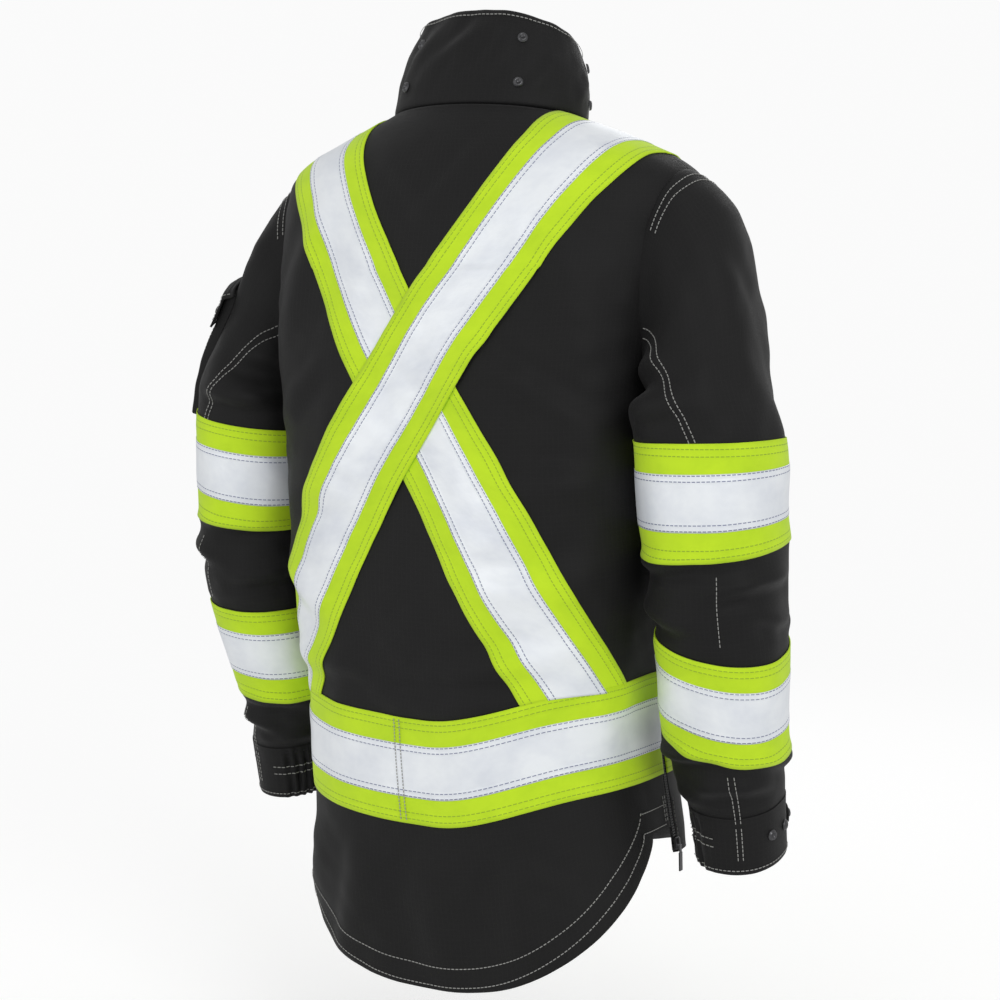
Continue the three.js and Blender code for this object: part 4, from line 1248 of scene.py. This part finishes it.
# Stitching on the black cloth: rows of light grey thread along the seams, hems and edges. Each stitch
# is a short raised bar that lies on the cloth.
def stitches(bm, surface, start=None, end=None, step=0.0042, share=0.68, bend=None):
    """A row of stitches on surface(a, b, lift) from start to end, or along bend(t)."""
    t = np.linspace(0, 1, 500)
    def path(s):
        if bend:
            return bend(s)
        return start[0] + (end[0] - start[0]) * s, start[1] + (end[1] - start[1]) * s

    line = surface(*path(t), 0.0004)
    length = np.concatenate([[0], np.cumsum(np.linalg.norm(np.diff(line, axis=0), axis=1))])
    count = max(1, int(length[-1] / step))
    begin = np.interp(np.arange(count) * step, length, t)
    close = np.interp((np.arange(count) + share) * step, length, t)
    middle = (begin + close) / 2
    first, last = surface(*path(begin), 0.0004), surface(*path(close), 0.0004)
    centre, above = surface(*path(middle), 0.0004), surface(*path(middle), 0.0014)
    for p, q, c, o in zip(first, last, centre, above):
        brick(bm, frame_at(c, q - p, o - c), (float(np.linalg.norm(q - p)), 0.00075, 0.0005))


bm = bmesh.new()
for inset in (0.004, 0.022):
    def along_the_hem(t):
        angle = -0.10 + (math.pi + 0.20) * t
        return angle, hem_drop(angle) - inset

    stitches(bm, body, bend=along_the_hem)
for edge in (-0.100, -0.072):
    for turn in (edge, math.pi - edge):
        stitches(bm, body, (turn, 0.650), (turn, float(hem_drop(np.array([turn]))[0]) - 0.004))
# The short row beside each vent is sewn over twice, in the same place.
for side in (1, -1):
    for _ in range(2):
        stitches(bm, body, (on_side(side, -0.220), 0.655), (on_side(side, -0.220), 0.701))
for x in (0.010, 0.016):
    splice = float(angle_at(np.array([x]), np.array([0.626]), False)[0])
    stitches(bm, lambda a, d, h: body(a, d, h + 0.0022), (splice, 0.571), (splice, 0.667), step=0.0032)
stitches(bm, lambda a, r, h: collar_outside(a, r, h + 0.0012), (-1.50, 0.955), (4.64, 0.955))
made = finished("body_stitching", bm, thread)
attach(made, "torso")

SEAM_TURNS = np.array([[0.0, 118], [0.05, 108], [0.10, 95], [0.16, 78], [0.22, 66], [0.30, 62], [0.60, 62]])
for word, side in (("left", 1), ("right", -1)):
    sleeve = sleeves[word]
    seam_start = float(armhole_seam(np.array([math.radians(110)]))[0]) + 0.006
    bm = bmesh.new()
    for shift in (-0.045, 0.045):
        def down_the_seam(t):
            run = seam_start + t * (RUN_UPPER - 0.004 - seam_start)
            return np.radians(np.interp(run, SEAM_TURNS[:, 0], SEAM_TURNS[:, 1])) + shift, run

        stitches(bm, sleeve, bend=down_the_seam)
    for inset in (0.004, 0.0095):
        def over_the_top(t):
            turn = math.radians(-60) + t * math.radians(125)
            return turn, armhole_seam(turn) + inset

        stitches(bm, sleeve, bend=over_the_top)
    made = finished(f"{word}_sleeve_head_stitching", bm, thread)
    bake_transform(made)

    bm = bmesh.new()
    seam_turn = math.radians(62)
    stitches(bm, sleeve, (seam_turn, sleeve_run(-0.412)), (seam_turn, sleeve_run(-0.478)))
    for turn in (seam_turn - 0.05, seam_turn + 0.05):
        stitches(bm, sleeve, (turn, sleeve_run(-0.598)), (turn, RUN_CUFF + 0.004))
    made = finished(f"{word}_sleeve_lower_stitching", bm, thread)
    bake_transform(made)

    bm = bmesh.new()
    outside = cuff_outside(sleeve)

    def raised(turn, run, lift):
        return outside(turn, run, lift + 0.0006)

    for run in (RUN_CUFF + 0.016, RUN_CUFF + 0.024):
        stitches(bm, raised, (math.radians(95), run), (math.radians(290), run), step=0.005)
    for turn in (math.radians(59), math.radians(65)):
        stitches(bm, raised, (turn, RUN_CUFF + 0.004), (turn, RUN_END - 0.010))
    stitches(bm, raised, (math.radians(-175), RUN_END - 0.005), (math.radians(180), RUN_END - 0.005))
    made = finished(f"{word}_cuff_stitching", bm, thread)
    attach(made, f"{word}_forearm")

bm = bmesh.new()
for edge in (0.03, 0.97):
    stitches(bm, pocket_flap_shape, (edge, 0.06), (edge, 0.95))
stitches(bm, pocket_flap_shape, (0.03, 0.95), (0.97, 0.95))
made = finished("pocket_flap_stitching", bm, thread)
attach(made, "sleeve_pocket_flap")
bm = bmesh.new()
for edge in (0.05, 0.95):
    stitches(bm, pocket_shape, (edge, 0.35), (edge, 0.95))
stitches(bm, pocket_shape, (0.05, 0.95), (0.95, 0.95))
made = finished("pocket_stitching", bm, thread)
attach(made, "left_upper_arm")
bm = bmesh.new()
for edge in (0.06, 0.16, 0.94):
    stitches(bm, flap_shape, (edge, 0.01), (edge, 0.99))
stitches(bm, flap_shape, (0.06, 0.99), (0.94, 0.99))
made = finished("storm_flap_stitching", bm, thread)
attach(made, "storm_flap")


# The studio: a wide pale floor that fades into the backdrop, broad soft lights and the camera. The
# floor keeps a faint shadow near the coat.
floor_material = bpy.data.materials.new("studio_floor")
floor_material.use_nodes = True
floor_shader = floor_material.node_tree.nodes["Principled BSDF"]
floor_shader.inputs["Base Color"].default_value = (0.92, 0.92, 0.92, 1)
floor_shader.inputs["Roughness"].default_value = 0.9
floor_shader.inputs["Specular IOR Level"].default_value = 0.1
floor_tree = floor_material.node_tree
camera_ray = node(floor_tree, "ShaderNodeLightPath").outputs["Is Camera Ray"]
floor_shader.inputs["Emission Color"].default_value = (1, 1, 1, 1)
lifted_light = sums(floor_tree, "MULTIPLY", camera_ray, 0.30)
floor_tree.links.new(lifted_light, floor_shader.inputs["Emission Strength"])
place = node(floor_tree, "ShaderNodeTexCoord").outputs["Object"]
far_off = node(floor_tree, "ShaderNodeVectorMath", _0=place)
far_off.operation = "LENGTH"
fade = node(floor_tree, "ShaderNodeMapRange", Value=far_off.outputs["Value"])
fade.interpolation_type = "SMOOTHSTEP"
fade.inputs["From Min"].default_value = 0.5
fade.inputs["From Max"].default_value = 2.6
glow = node(floor_tree, "ShaderNodeEmission")
floor_tree.links.new(sums(floor_tree, "ADD", sums(floor_tree, "MULTIPLY", camera_ray, 0.36), 0.60),
                     glow.inputs["Strength"])
mixed = node(floor_tree, "ShaderNodeMixShader", Fac=fade.outputs[0])
floor_tree.links.new(floor_shader.outputs[0], mixed.inputs[1])
floor_tree.links.new(glow.outputs[0], mixed.inputs[2])
floor_tree.links.new(mixed.outputs[0], floor_tree.nodes["Material Output"].inputs["Surface"])
bm = bmesh.new()
bmesh.ops.create_grid(bm, x_segments=1, y_segments=1, size=40)
bmesh.ops.translate(bm, verts=bm.verts, vec=(0, 0, -0.95))
mesh = bpy.data.meshes.new("studio_floor")
bm.to_mesh(mesh)
bm.free()
mesh.materials.append(floor_material)
floor = bpy.data.objects.new("studio_floor", mesh)
bpy.context.scene.collection.objects.link(floor)

world = bpy.data.worlds.new("studio")
bpy.context.scene.world = world
world.use_nodes = True
world.node_tree.nodes["Background"].inputs[0].default_value = (1, 1, 1, 1)
seen = node(world.node_tree, "ShaderNodeLightPath").outputs["Is Camera Ray"]
bright = sums(world.node_tree, "ADD", sums(world.node_tree, "MULTIPLY", seen, 0.36), 0.60)
world.node_tree.links.new(bright, world.node_tree.nodes["Background"].inputs[1])
bpy.context.scene.view_settings.view_transform = "Standard"


def light(name, place, aim, size, power):
    data = bpy.data.lights.new(name, "AREA")
    data.shape = "SQUARE"
    data.size = size
    data.energy = power
    made = bpy.data.objects.new(name, data)
    made.location = place
    made.rotation_euler = (Vector(aim) - Vector(place)).to_track_quat("-Z", "Y").to_euler()
    bpy.context.scene.collection.objects.link(made)


light("key", (-2.4, 1.6, 0.9), (0, 0, -0.4), 1.4, 24)
light("fill", (0.9, 2.6, 0.1), (0, 0, -0.4), 1.6, 10)
light("front", (0.6, -2.6, 0.8), (0, 0, -0.4), 1.6, 12)

AZIMUTH, ELEVATION, DISTANCE, HEIGHT = 212.5, 6.0, 1.99, -0.377
turn, tip = math.radians(AZIMUTH), math.radians(ELEVATION)
away = Vector((math.sin(turn) * math.cos(tip), -math.cos(turn) * math.cos(tip), math.sin(tip)))
right = Vector((math.cos(turn), math.sin(turn), 0))
aim = Vector((0, 0, HEIGHT)) + right * 0.0096
camera_data = bpy.data.cameras.new("camera")
camera_data.sensor_width = 36
camera_data.lens = 73.0
camera_data.clip_end = 60
camera = bpy.data.objects.new("camera", camera_data)
camera.location = aim + away * DISTANCE
camera.rotation_euler = (-away).to_track_quat("-Z", "Y").to_euler()
bpy.context.scene.collection.objects.link(camera)
bpy.context.scene.camera = camera
